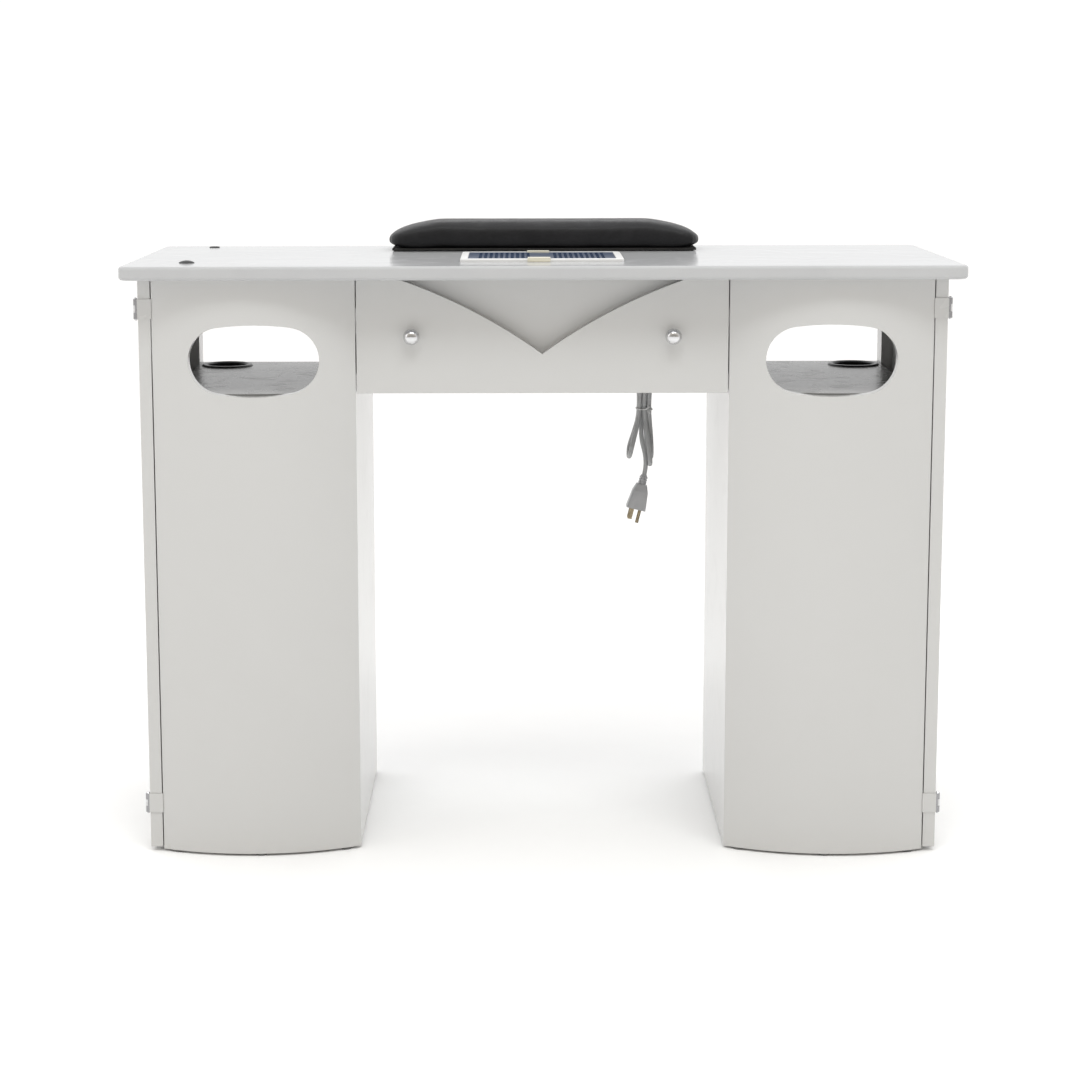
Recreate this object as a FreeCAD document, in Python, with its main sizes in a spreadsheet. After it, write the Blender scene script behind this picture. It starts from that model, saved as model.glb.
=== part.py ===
import FreeCAD, Part
import math
import os
import types

import Sketcher
from FreeCAD import Vector

# Manicure table: a stone-look top on two pedestals with curved fronts, a shallow drawer with a notched
# facing, a fan housing under a lift-out grille, side doors, a loose armrest and a mains cord.
# Millimetres, +Z up, the drawer faces -Y, origin on the floor under the middle of the top.

DIMENSIONS = [
    ("top_width", 1092, "top, left to right"),
    ("top_depth", 430, "top, front to back"),
    ("top_thick", 18, "top"),
    ("table_high", 790, "floor to the face of the top"),
    ("top_corner", 16, "plan radius of the top's corners"),
    ("top_edge", 4.5, "rounding of the top's edges"),
    ("board", 16, "carcass board"),
    ("thin_board", 12, "drawer board"),
    ("glide_high", 3, "floor glides"),
    ("leg_out", 527, "outer face of a side door from the middle"),
    ("leg_in", 245, "kneehole face of a pedestal from the middle"),
    ("leg_front", 157, "inner front corner of a pedestal"),
    ("door_front", 170, "front edge of a side door"),
    ("leg_back", 205, "back of the pedestals"),
    ("door_gap", 1.4, "reveal round a side door"),
    ("front_radius", 316, "curved front panel"),
    ("shelf_top", 621, "upper shelf"),
    ("mid_shelf_top", 330, "lower shelf"),
    ("oval_x", 376, "oval cut-out, from the middle"),
    ("oval_z", 665.5, "oval cut-out, above the floor"),
    ("oval_half_w", 85, "oval cut-out"),
    ("oval_half_h", 47, "oval cut-out"),
    ("oval_end", 44, "end radius of the oval"),
    ("ring_x", 452, "shelf ring"),
    ("ring_y", 156, "shelf ring"),
    ("ring_bore", 29, "inside radius of a shelf ring"),
    ("ring_flange", 36.5, "flange radius of a shelf ring"),
    ("vent_half_w", 108, "vent frame"),
    ("vent_front", 134, "front of the vent frame"),
    ("vent_back", 16, "back of the vent frame"),
    ("vent_rise", 4, "vent frame above the top"),
    ("vent_border", 10, "border of the vent frame"),
    ("facing_half_w", 243.5, "drawer facing"),
    ("facing_low", 619.5, "lower edge of the drawer facing"),
    ("facing_high", 770.5, "upper edge of the drawer facing"),
    ("notch_half_w", 192, "notch in the drawer facing, at its top"),
    ("notch_low", 671, "point of the notch"),
    ("notch_radius", 725, "flanks of the notch"),
    ("tray_back", 60, "back of the drawer tray"),
    ("tray_low", 630, "underside of the drawer tray"),
    ("tray_high", 690, "rim of the drawer tray"),
    ("tray_half_w", 231, "outer face of the drawer tray"),
    ("knob_x", 171, "drawer knobs"),
    ("knob_z", 695, "drawer knobs"),
    ("box_half_w", 165, "fan housing"),
    ("box_front", 120, "front of the fan housing"),
    ("box_back", 186, "back of the fan housing"),
    ("box_low", 700, "underside of the fan housing"),
    ("box_wall", 6, "fan housing wall"),
    ("fan_y", 120, "fan axis"),
    ("fan_half", 60, "half the side of the fan frame"),
    ("fan_bore", 56, "bore of the fan frame"),
    ("fan_thick", 25, "fan frame"),
    ("lamp_x", 470, "lamp bush, from the middle"),
    ("lamp_y", 178, "lamp bush"),
    ("lamp_bore", 5, "bore radius of the lamp bush"),
    ("plug_x", 466, "hole cap, from the middle"),
    ("plug_y", 141, "hole cap"),
    ("cord_thick", 6.5, "mains cord"),
    ("cord_x", 145, "strain relief"),
    ("cord_y", 82, "strain relief"),
    ("rest_half_w", 225, "armrest"),
    ("rest_x", 5, "middle of the armrest"),
    ("rest_front", 68, "front of the armrest"),
    ("rest_back", 190, "back of the armrest"),
]


class Size:
    """A number that remembers the sheet formula it came from."""

    def __init__(self, number, formula):
        self.number = number
        self.formula = formula

    def __add__(self, other):
        return Size(self.number + plain(other), f"({self.formula} + {text(other)})")

    def __radd__(self, other):
        return Size(plain(other) + self.number, f"({text(other)} + {self.formula})")

    def __sub__(self, other):
        return Size(self.number - plain(other), f"({self.formula} - {text(other)})")

    def __rsub__(self, other):
        return Size(plain(other) - self.number, f"({text(other)} - {self.formula})")

    def __mul__(self, other):
        return Size(self.number * plain(other), f"({self.formula} * {text(other)})")

    def __rmul__(self, other):
        return self * other

    def __truediv__(self, other):
        return Size(self.number / plain(other), f"({self.formula} / {text(other)})")

    def __neg__(self):
        return Size(-self.number, f"(0 - {self.formula})")


def plain(size):
    return size.number if isinstance(size, Size) else size


def text(size):
    return size.formula if isinstance(size, Size) else repr(size)


doc = FreeCAD.newDocument("manicure_table")
sheet = doc.addObject("Spreadsheet::Sheet", "Dims")
for row, (alias, number, note) in enumerate(DIMENSIONS, 1):
    sheet.set(f"A{row}", note)
    sheet.set(f"B{row}", str(number))
    sheet.setAlias(f"B{row}", alias)
doc.recompute()
dim = types.SimpleNamespace(**{alias: Size(number, f"Dims.{alias}") for alias, number, note in DIMENSIONS})

nodes = []


def node(thing, label):
    """Name a finished piece and put it on the list that is written out."""
    thing.Label = label
    nodes.append(thing)
    return thing


def bind(thing, prop, size):
    """Give a property its size, tied to the sheet where it comes from there."""
    if isinstance(size, Size):
        thing.setExpression(prop, size.formula)
    elif prop.startswith(".Placement.Base."):
        setattr(thing.Placement.Base, prop[-1], float(size))
    else:
        setattr(thing, prop, float(size))


def place(thing, at):
    for axis, size in zip("xyz", at):
        if isinstance(size, Size):
            thing.setExpression(f".Placement.Base.{axis}", size.formula)
        else:
            thing.setExpression(f".Placement.Base.{axis}", repr(float(size)))


def box(name, low, high):
    """A board from its low corner to its high corner."""
    thing = doc.addObject("Part::Box", name)
    for prop, a, b in zip(("Length", "Width", "Height"), low, high):
        bind(thing, prop, b - a)
    place(thing, low)
    return thing


UPRIGHT = FreeCAD.Rotation()
ALONG_X = FreeCAD.Rotation(Vector(0, 1, 0), 90)


def cylinder(name, at, radius, length, turn=UPRIGHT):
    thing = doc.addObject("Part::Cylinder", name)
    bind(thing, "Radius", radius)
    bind(thing, "Height", length)
    thing.Placement = FreeCAD.Placement(Vector(), turn)
    place(thing, at)
    return thing


def cut(name, base, tools):
    """The base with every tool taken out of it."""
    tool = tools[0]
    if len(tools) > 1:
        tool = doc.addObject("Part::MultiFuse", name + "_tools")
        tool.Shapes = tools
    thing = doc.addObject("Part::Cut", name)
    thing.Base = base
    thing.Tool = tool
    return thing


def fuse(name, shapes):
    thing = doc.addObject("Part::MultiFuse", name)
    thing.Shapes = shapes
    return thing


def group(name, pieces):
    """Like pieces that share one node, each still a solid of its own."""
    thing = doc.addObject("Part::Compound", name)
    thing.Links = pieces
    return thing


def mirrored(name, source):
    """The same piece on the other side of the table's middle plane."""
    thing = doc.addObject("Part::Mirroring", name)
    thing.Source = source
    thing.Normal = Vector(1, 0, 0)
    return thing


def sketch_on(body, name, role):
    sketch = body.newObject("Sketcher::SketchObject", name)
    plane = next(item for item in body.Origin.OriginFeatures if item.Role == role)
    sketch.AttachmentSupport = [(plane, "")]
    sketch.MapMode = "FlatFace"
    return sketch


def pin_point(sketch, edge, end, point):
    """Hold one end of an edge, or a centre, at a point whose two sizes come from the sheet."""
    for kind, size in zip(("DistanceX", "DistanceY"), point):
        index = sketch.addConstraint(Sketcher.Constraint(kind, -1, 1, edge, end, plain(size)))
        if isinstance(size, Size):
            sketch.setExpression(f"Constraints[{index}]", size.formula)


def outline(sketch, points, arcs=None):
    """A closed outline through points. arcs gives the edges that are round: {edge: (radius, bulge side)}.

    The bulge side is +1 where the arc bulges to the left of its direction of travel, and -1 to the right.
    """
    arcs = arcs or {}
    count = len(points)
    corners = [Vector(plain(x), plain(y), 0) for x, y in points]
    for i in range(count):
        a, b = corners[i], corners[(i + 1) % count]
        start, end = (1, 2)
        if i in arcs:
            radius, side = arcs[i]
            chord = b - a
            left = Vector(-chord.y, chord.x, 0) / chord.Length
            centre = (a + b) / 2 - left * side * math.sqrt(plain(radius) ** 2 - (chord.Length / 2) ** 2)
            if side > 0:
                a, b = b, a
                start, end = (2, 1)
            angles = [math.atan2(p.y - centre.y, p.x - centre.x) for p in (a, b)]
            round_curve = Part.Circle(centre, Vector(0, 0, 1), plain(radius))
            sketch.addGeometry(Part.ArcOfCircle(round_curve, *angles))
        else:
            sketch.addGeometry(Part.LineSegment(a, b))
        pin_point(sketch, i, start, points[i])
        pin_point(sketch, i, end, points[(i + 1) % count])
        if i in arcs:
            index = sketch.addConstraint(Sketcher.Constraint("Radius", i, plain(radius)))
            if isinstance(radius, Size):
                sketch.setExpression(f"Constraints[{index}]", radius.formula)


def circle(sketch, centre, radius):
    at = Vector(plain(centre[0]), plain(centre[1]), 0)
    index = sketch.addGeometry(Part.Circle(at, Vector(0, 0, 1), plain(radius)))
    pin_point(sketch, index, 3, centre)
    index = sketch.addConstraint(Sketcher.Constraint("Radius", index, plain(radius)))
    if isinstance(radius, Size):
        sketch.setExpression(f"Constraints[{index}]", radius.formula)


def padded_body(name, role, points, length, arcs=None, backwards=False):
    """A body made by pushing one outline out to a length."""
    body = doc.addObject("PartDesign::Body", name)
    sketch = sketch_on(body, name + "_outline", role)
    outline(sketch, points, arcs)
    pad = body.newObject("PartDesign::Pad", name + "_pad")
    pad.Profile = sketch
    bind(pad, "Length", length)
    pad.Reversed = backwards
    return body


def pocket(body, sketch, name):
    """Cut a sketch right through the body, both ways."""
    doc.recompute()
    before = body.Shape.Volume
    feature = body.newObject("PartDesign::Pocket", name)
    feature.Profile = sketch
    feature.Type = "ThroughAll"
    feature.SideType = "Symmetric"
    doc.recompute()
    if body.Shape.Volume > before - 1:
        raise ValueError(name + " cuts nothing")
    return feature


def turned_body(name, points, arcs=None):
    """A body turned about Z from half its section: x is the radius and y the height."""
    body = doc.addObject("PartDesign::Body", name)
    sketch = sketch_on(body, name + "_section", "XZ_Plane")
    outline(sketch, points, arcs)
    turning = body.newObject("PartDesign::Revolution", name + "_turning")
    turning.Profile = sketch
    turning.ReferenceAxis = (sketch, ["V_Axis"])
    turning.Angle = 360
    return body


def free_shape(name, shape):
    """A piece that neither a body nor a primitive suits."""
    thing = doc.addObject("Part::Feature", name)
    thing.Shape = shape
    return thing



# ---- the top, with its vent opening and the holes for the lamp and the hole cap ----

half_w = dim.top_width / 2
half_d = dim.top_depth / 2
top_low = dim.table_high - dim.top_thick
corner = dim.top_corner

top = padded_body(
    "table_top_body", "XY_Plane",
    [(half_w - corner, -half_d), (half_w, corner - half_d), (half_w, half_d - corner),
     (half_w - corner, half_d), (corner - half_w, half_d), (-half_w, half_d - corner),
     (-half_w, corner - half_d), (corner - half_w, -half_d)],
    dim.top_thick, {edge: (corner, -1) for edge in (0, 2, 4, 6)})
place(top, (0, 0, top_low))
VENT_CLEAR = 6
vent_x = dim.vent_half_w - VENT_CLEAR
vent_y0 = VENT_CLEAR - dim.vent_front
vent_y1 = dim.vent_back - VENT_CLEAR
holes = sketch_on(top, "top_holes", "XY_Plane")
outline(holes, [(-vent_x, vent_y0), (vent_x, vent_y0), (vent_x, vent_y1), (-vent_x, vent_y1)])
LAMP_SLEEVE = 6.5
CAP_STEM = 7.8
circle(holes, (-dim.lamp_x, dim.lamp_y), LAMP_SLEEVE + 0.1)
circle(holes, (-dim.plug_x, -dim.plug_y), CAP_STEM + 0.2)
holes_cut = pocket(top, holes, "top_holes_cut")
OUTER_X, OUTER_Y = 530, 200
rim = []
for i, edge in enumerate(top.Shape.Edges):
    reach = edge.BoundBox
    outside = max(-reach.XMin, reach.XMax) > OUTER_X or max(-reach.YMin, reach.YMax) > OUTER_Y
    if outside and reach.ZLength < 1e-6:
        rim.append(f"Edge{i + 1}")
rounding = top.newObject("PartDesign::Fillet", "top_rounding")
rounding.Base = (holes_cut, rim)
bind(rounding, "Radius", dim.top_edge)
top.Tip = rounding
node(top, "table_top")

lamp_bush = turned_body("lamp_bush_body", [
    (dim.lamp_bore, -dim.top_thick), (LAMP_SLEEVE, -dim.top_thick), (LAMP_SLEEVE, 0), (7.5, 0), (7.5, 0.7),
    (6.8, 1.4), (dim.lamp_bore, 1.4)])
place(lamp_bush, (-dim.lamp_x, dim.lamp_y, dim.table_high))
node(lamp_bush, "lamp_bush")

hole_cap = turned_body("hole_cap_body", [
    (0, -12), (CAP_STEM, -12), (CAP_STEM, 0), (10.2, 0), (10.2, 0.8), (1, 3.4), (0, 3.4)], {4: (19, -1)})
place(hole_cap, (-dim.plug_x, -dim.plug_y, dim.table_high))
node(hole_cap, "hole_cap")

# ---- the vent: a bezel let into the top, with a grille, finger tabs and a filter that lift out together ----

vent_top = dim.table_high + dim.vent_rise
SLEEVE_WALL = 3
LEDGE = 4
LEDGE_HIGH = 1
hole_x = dim.vent_half_w - dim.vent_border
hole_y0 = dim.vent_border - dim.vent_front
hole_y1 = dim.vent_back - dim.vent_border
bezel = box("bezel_plate", (-dim.vent_half_w, -dim.vent_front, dim.table_high),
            (dim.vent_half_w, dim.vent_back, vent_top))
bezel_round = doc.addObject("Part::Fillet", "bezel_round")
bezel_round.Base = bezel
doc.recompute()
upright_edges = [i + 1 for i, edge in enumerate(bezel.Shape.Edges) if edge.BoundBox.ZLength > 1]
top_edges = [i + 1 for i, edge in enumerate(bezel.Shape.Edges) if edge.BoundBox.ZMin > plain(vent_top) - 1e-6]
bezel_round.Edges = [(i, 8.0, 8.0) for i in upright_edges] + [(i, 1.5, 1.5) for i in top_edges]
sleeve = box("vent_sleeve", (-hole_x - SLEEVE_WALL, hole_y0 - SLEEVE_WALL, top_low + 2),
             (hole_x + SLEEVE_WALL, hole_y1 + SLEEVE_WALL, dim.table_high + 1))
ledge_hole = box("vent_ledge_hole", (LEDGE - hole_x, hole_y0 + LEDGE, top_low),
                 (hole_x - LEDGE, hole_y1 - LEDGE, vent_top + 1))
grille_seat = box("vent_grille_seat", (-hole_x, hole_y0, dim.table_high + LEDGE_HIGH),
                  (hole_x, hole_y1, vent_top + 1))
node(cut("vent_frame_cut", fuse("vent_frame_blank", [bezel_round, sleeve]), [ledge_hole, grille_seat]),
     "vent_frame")

SEAT_GAP = 0.4
GRILLE_THICK = 2.2
grille_low = dim.table_high + LEDGE_HIGH + 0.2
plate = box("grille_plate", (SEAT_GAP - hole_x, hole_y0 + SEAT_GAP, grille_low),
            (hole_x - SEAT_GAP, hole_y1 - SEAT_GAP, grille_low + GRILLE_THICK))
SLOT_ROWS = 5
SLOT_COLUMNS = 10
SLOT_PITCH = 7.1
SLOT_WIDE = 4.2
SLOT_FIRST = 18
slot_run = plain(hole_y1 - hole_y0) - 16
slot_long = slot_run / SLOT_ROWS - 5
slots = []
for row in range(SLOT_ROWS):
    y = plain(hole_y0) + 8 + (row + 0.5) * slot_run / SLOT_ROWS
    for column in range(SLOT_COLUMNS):
        for side in (-1, 1):
            x = side * (SLOT_FIRST + column * SLOT_PITCH)
            at = Vector(x - SLOT_WIDE / 2, y - slot_long / 2, plain(grille_low) - 1)
            slots.append(Part.makeBox(SLOT_WIDE, slot_long, GRILLE_THICK + 2, at))
node(cut("grille_cut", plate, [free_shape("grille_slots", Part.makeCompound(slots))]), "vent_grille")

TAB_HALF = 15
TAB_X = -4
tab_low = vent_top + 0.2
tab_high = vent_top + 1.6
tabs = []
for name, inner, outer, lip in (("front", hole_y0 + 6, -dim.vent_front - 2.4, -dim.vent_front - 0.4),
                                ("back", hole_y1 - 6, dim.vent_back - 1, dim.vent_back - 3)):
    low, high = (outer, inner) if name == "front" else (inner, outer)
    parts = [box(f"{name}_tab_plate", (TAB_X - TAB_HALF, low, tab_low), (TAB_X + TAB_HALF, high, tab_high))]
    seat_low, seat_high = (hole_y0 + 1, inner) if name == "front" else (inner, hole_y1 - 1)
    parts.append(box(f"{name}_tab_root", (TAB_X - TAB_HALF, seat_low, grille_low + GRILLE_THICK),
                     (TAB_X + TAB_HALF, seat_high, tab_low)))
    if name == "front":
        parts.append(box("front_tab_lip", (TAB_X - TAB_HALF, outer, dim.table_high + 0.3),
                         (TAB_X + TAB_HALF, lip, tab_low)))
    tabs.append(fuse(f"{name}_tab", parts))
node(group("grille_tab_pair", tabs), "grille_tabs")

FILTER_THICK = 1.2
filter_clear = LEDGE + 1
node(box("filter_body", (filter_clear - hole_x, hole_y0 + filter_clear, grille_low - FILTER_THICK),
         (hole_x - filter_clear, hole_y1 - filter_clear, grille_low)), "filter_pad")

# ---- the pedestals, built on the right and mirrored to the left ----

side_x = dim.leg_in + dim.board
door_in = dim.leg_out - dim.board
frame_out = door_in - dim.door_gap
stile_in = frame_out - dim.board
SHELF_FRONT_IN = 148.5
SHELF_FRONT_OUT = 159.6
STILE_DEEP = 40
RAIL_HIGH = 32
BACK_THICK = 12
BOTTOM_LOW = 12
RING_SLEEVE = 32.2


def both(right, name):
    """Put the right-hand piece and its mirror image on the list."""
    node(mirrored("left_" + name + "_copy", right), "left_" + name)
    node(right, "right_" + name)


def pair(right, name):
    """One node for the right-hand piece and its mirror image."""
    node(group(name + "_pair", [right, mirrored(name + "_copy", right)]), name)


front = padded_body(
    "front_panel_body", "XY_Plane",
    [(dim.leg_in, -dim.leg_front), (frame_out, -dim.door_front), (frame_out, dim.board - dim.door_front),
     (dim.leg_in, dim.board - dim.leg_front)],
    top_low - dim.glide_high, {0: (dim.front_radius, -1), 2: (dim.front_radius, 1)})
place(front, (0, 0, dim.glide_high))
a, b, end_r = dim.oval_half_w, dim.oval_half_h, dim.oval_end
flank_r = (a * a + b * b - 2 * a * end_r) / (2 * (b - end_r))
join_x = flank_r * (a - end_r) / (flank_r - end_r)
join_z = (flank_r - b) * end_r / (flank_r - end_r)
oval_mid = dim.oval_z - dim.glide_high
oval = sketch_on(front, "oval", "XZ_Plane")
outline(oval, [(dim.oval_x - join_x, oval_mid - join_z), (dim.oval_x + join_x, oval_mid - join_z),
               (dim.oval_x + join_x, oval_mid + join_z), (dim.oval_x - join_x, oval_mid + join_z)],
        {0: (flank_r, -1), 1: (end_r, -1), 2: (flank_r, -1), 3: (end_r, -1)})
pocket(front, oval, "oval_cut")
both(front, "front_panel")

both(box("inner_side", (dim.leg_in, dim.board - dim.leg_front, dim.glide_high),
         (side_x, dim.leg_back, top_low)),
     "inner_side")
pair(box("rear_stile", (stile_in, dim.leg_back - STILE_DEEP, dim.glide_high),
         (frame_out, dim.leg_back, top_low)), "rear_stiles")
pair(box("top_rail", (stile_in, dim.board - dim.leg_front, top_low - RAIL_HIGH),
         (frame_out, dim.leg_back - STILE_DEEP, top_low)), "top_rails")
pair(box("back_panel", (side_x, dim.leg_back - BACK_THICK, BOTTOM_LOW + dim.board),
         (stile_in, dim.leg_back, dim.shelf_top - dim.board)), "back_panels")

shelf_front = [(side_x, -SHELF_FRONT_IN), (stile_in, -SHELF_FRONT_OUT)]
full_back = [(stile_in, dim.leg_back), (side_x, dim.leg_back)]
short_back = [(stile_in, dim.leg_back - BACK_THICK), (side_x, dim.leg_back - BACK_THICK)]
for name, high, back in (("upper_shelf", dim.shelf_top, full_back),
                         ("lower_shelves", dim.mid_shelf_top, short_back),
                         ("bottom_boards", BOTTOM_LOW + dim.board, full_back)):
    shelf = padded_body(name + "_body", "XY_Plane", shelf_front + back, dim.board,
                        {0: (dim.front_radius, -1)})
    place(shelf, (0, 0, high - dim.board))
    if name == "upper_shelf":
        ring_hole = sketch_on(shelf, "ring_hole", "XY_Plane")
        circle(ring_hole, (dim.ring_x, dim.ring_y), RING_SLEEVE + 0.3)
        pocket(shelf, ring_hole, "ring_hole_cut")
    if name == "upper_shelf":
        both(shelf, name)
    else:
        pair(shelf, name)

ring = turned_body("shelf_ring_body", [
    (dim.ring_bore, -dim.board), (RING_SLEEVE, -dim.board), (RING_SLEEVE, 0), (dim.ring_flange, 0),
    (dim.ring_flange, 1), (dim.ring_flange - 1.5, 2.6), (dim.ring_bore + 2, 2.6), (dim.ring_bore, 0.6)])
place(ring, (dim.ring_x, dim.ring_y, dim.shelf_top))
pair(ring, "shelf_rings")

GLIDE_R = 7
GLIDES_AT = ((253, 192), (253, -120), (265, -158.6), (377, -184.5), (490, -169), (501, 192))
glides = [cylinder(f"glide_{i}", (x, y, 0), GLIDE_R, dim.glide_high) for i, (x, y) in enumerate(GLIDES_AT)]
pair(group("glide_set", glides), "floor_glides")

BRACKET = 20
BRACKET_THICK = 2
BRACKETS_AT = (-100, 35, 150)
BRACKET_HALF_W = 8
brackets = []
for i, y in enumerate(BRACKETS_AT):
    upright = box(f"bracket_leg_{i}", (side_x, y - BRACKET_HALF_W, top_low - BRACKET),
                  (side_x + BRACKET_THICK, y + BRACKET_HALF_W, top_low))
    flat = box(f"bracket_foot_{i}", (side_x, y - BRACKET_HALF_W, top_low - BRACKET_THICK),
               (side_x + BRACKET, y + BRACKET_HALF_W, top_low))
    head = cylinder(f"bracket_screw_{i}", (side_x + BRACKET_THICK, y, top_low - BRACKET + 7), 3.4, 2, ALONG_X)
    brackets.append(fuse(f"bracket_{i}", [upright, flat, head]))
pair(group("bracket_set", brackets), "corner_brackets")

# ---- side doors, on hinges at their front edges, with a knob and a magnet at the back ----

DOOR_LOW = 6
DOOR_HIGH = 769
HINGE_AT = (67, 732)
BARREL_R = 3
BARREL_HIGH = 26
PIN_R = 1.5
PIN_PLAY = 0.05
KNUCKLE = 8
KNUCKLE_PLAY = 0.4
DOOR_LEAF_LONG = 26
FRAME_LEAF_LONG = 14
TIP_HIGH = 2
TIP_R = 1.2
LEAF_THICK = 0.9
axis_x = dim.leg_out + BARREL_R + 0.3
axis_y = BARREL_R - dim.door_front
both(box("side_door", (door_in, -dim.door_front, DOOR_LOW), (dim.leg_out, dim.leg_back, DOOR_HIGH)),
     "side_door")

door_leaves, frame_leaves, pins = [], [], []
for i, z in enumerate(HINGE_AT):
    low = z - BARREL_HIGH / 2
    bore = cylinder(f"hinge_bore_{i}", (axis_x, axis_y, low - 1), PIN_R + PIN_PLAY, BARREL_HIGH + 2)
    middle = low + KNUCKLE + KNUCKLE_PLAY
    middle_high = BARREL_HIGH - 2 * (KNUCKLE + KNUCKLE_PLAY)
    knuckle = cylinder(f"door_knuckle_{i}", (axis_x, axis_y, middle), BARREL_R, middle_high)
    leaf = box(f"door_leaf_{i}", (dim.leg_out, axis_y, middle),
               (dim.leg_out + LEAF_THICK, axis_y + DOOR_LEAF_LONG, middle + middle_high))
    door_leaves.append(cut(f"door_hinge_{i}", fuse(f"door_hinge_blank_{i}", [knuckle, leaf]), [bore]))
    wrap_y = -dim.door_front - 0.3 - LEAF_THICK
    arms = [box(f"frame_wrap_{i}", (frame_out, wrap_y, low),
                (axis_x, wrap_y + LEAF_THICK, low + BARREL_HIGH)),
            box(f"frame_tail_{i}", (frame_out, wrap_y, low),
                (frame_out + LEAF_THICK, FRAME_LEAF_LONG - dim.door_front, low + BARREL_HIGH))]
    for j, start in enumerate((low, low + BARREL_HIGH - KNUCKLE)):
        arms.append(cylinder(f"frame_knuckle_{i}_{j}", (axis_x, axis_y, start), BARREL_R, KNUCKLE))
        arms.append(box(f"frame_arm_{i}_{j}", (dim.leg_out + 0.5, wrap_y, start),
                        (axis_x, axis_y - 1, start + KNUCKLE)))
    frame_leaves.append(cut(f"frame_hinge_{i}", fuse(f"frame_hinge_blank_{i}", arms), [bore]))
    shaft = cylinder(f"pin_shaft_{i}", (axis_x, axis_y, low), PIN_R, BARREL_HIGH)
    tips = []
    for j, (base, turn) in enumerate(((low + BARREL_HIGH, 1), (low - TIP_HIGH, -1))):
        tip = doc.addObject("Part::Cone", f"pin_tip_{i}_{j}")
        tip.Radius1, tip.Radius2 = (BARREL_R, TIP_R) if turn > 0 else (TIP_R, BARREL_R)
        tip.Height = TIP_HIGH
        place(tip, (axis_x, axis_y, base))
        tips.append(tip)
    pins.append(fuse(f"hinge_pin_{i}", [shaft] + tips))
both(group("door_hinge_pair", door_leaves), "door_leaves")
pair(group("frame_hinge_pair", frame_leaves), "frame_leaves")
pair(group("hinge_pin_pair", pins), "hinge_pins")

CATCH_Z = 390
CATCH_HIGH = 40
CATCH_DEEP = 14
catch_y = dim.leg_back - STILE_DEEP
pair(box("catch_magnet", (stile_in, catch_y - CATCH_DEEP, CATCH_Z),
         (frame_out, catch_y, CATCH_Z + CATCH_HIGH)),
     "catch_magnets")
both(box("catch_plate", (door_in - 1, catch_y - CATCH_DEEP + 1, CATCH_Z + 4),
         (door_in, catch_y - 1, CATCH_Z + CATCH_HIGH - 4)), "catch_plate")

KNOB_R = 10.7
KNOB_LONG = 21
knob_section = [(0, 0), (6, 0), (6, 1.5), (4, 3), (4, 9), (KNOB_R, 13), (1, KNOB_LONG), (0, KNOB_LONG)]
KNOB_DOME = {5: (10.5, -1)}


def knob(name, at, turn):
    body = turned_body(name, knob_section, KNOB_DOME)
    body.Placement = FreeCAD.Placement(Vector(), turn)
    place(body, at)
    return body


both(knob("door_knob_body", (dim.leg_out, dim.leg_back - 40, 430), ALONG_X), "door_knob")

# ---- the drawer: a notched facing on a plain front board, a low tray, knobs and slides ----

facing = padded_body(
    "facing_body", "XZ_Plane",
    [(-dim.facing_half_w, dim.facing_low), (dim.facing_half_w, dim.facing_low),
     (dim.facing_half_w, dim.facing_high),
     (dim.notch_half_w, dim.facing_high), (0, dim.notch_low), (-dim.notch_half_w, dim.facing_high),
     (-dim.facing_half_w, dim.facing_high)],
    dim.board, {3: (dim.notch_radius, -1), 4: (dim.notch_radius, -1)}, backwards=False)
place(facing, (0, dim.board - dim.leg_front, 0))
node(facing, "drawer_facing")

board_y0 = dim.board - dim.leg_front
tray_y0 = board_y0 + dim.thin_board
node(box("drawer_board", (-dim.facing_half_w, board_y0, dim.facing_low + 1),
         (dim.facing_half_w, tray_y0, dim.facing_high - 1)), "drawer_board")
tray_in = dim.tray_half_w - dim.thin_board
pair(box("tray_side", (tray_in, tray_y0, dim.tray_low), (dim.tray_half_w, dim.tray_back, dim.tray_high)),
     "tray_sides")
node(box("tray_back", (-tray_in, dim.tray_back - dim.thin_board, dim.tray_low),
         (tray_in, dim.tray_back, dim.tray_high)),
     "tray_back")
BOTTOM_THICK = 4
node(box("tray_bottom", (-tray_in, tray_y0, dim.tray_low),
         (tray_in, dim.tray_back - dim.thin_board, dim.tray_low + BOTTOM_THICK)),
     "tray_bottom")
pair(knob("drawer_knob_body", (dim.knob_x, -dim.leg_front, dim.knob_z),
          FreeCAD.Rotation(Vector(1, 0, 0), 90)), "drawer_knobs")

SLIDE_LOW = 642
SLIDE_HIGH = 676
SLIDE_WALL = 1.6
SLIDE_LIP = 6
slide_y1 = dim.tray_back + 2
channel = box("channel_blank", (dim.tray_half_w + 3, tray_y0 + 1, SLIDE_LOW),
              (dim.leg_in, slide_y1, SLIDE_HIGH))
channel_hole = box("channel_hole", (dim.tray_half_w + 2, tray_y0 - 1, SLIDE_LOW + SLIDE_WALL),
                   (dim.leg_in - SLIDE_WALL, slide_y1 + 1, SLIDE_HIGH - SLIDE_WALL))
pair(cut("slide_channel_cut", channel, [channel_hole]), "slide_channels")
pair(box("slide_runner", (dim.tray_half_w, tray_y0, SLIDE_LOW + SLIDE_LIP),
         (dim.leg_in - SLIDE_WALL - 1, dim.tray_back, SLIDE_HIGH - SLIDE_LIP)),
     "slide_runners")

# ---- the fan housing under the top, with fan, guard, switch and strain relief ----

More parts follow.
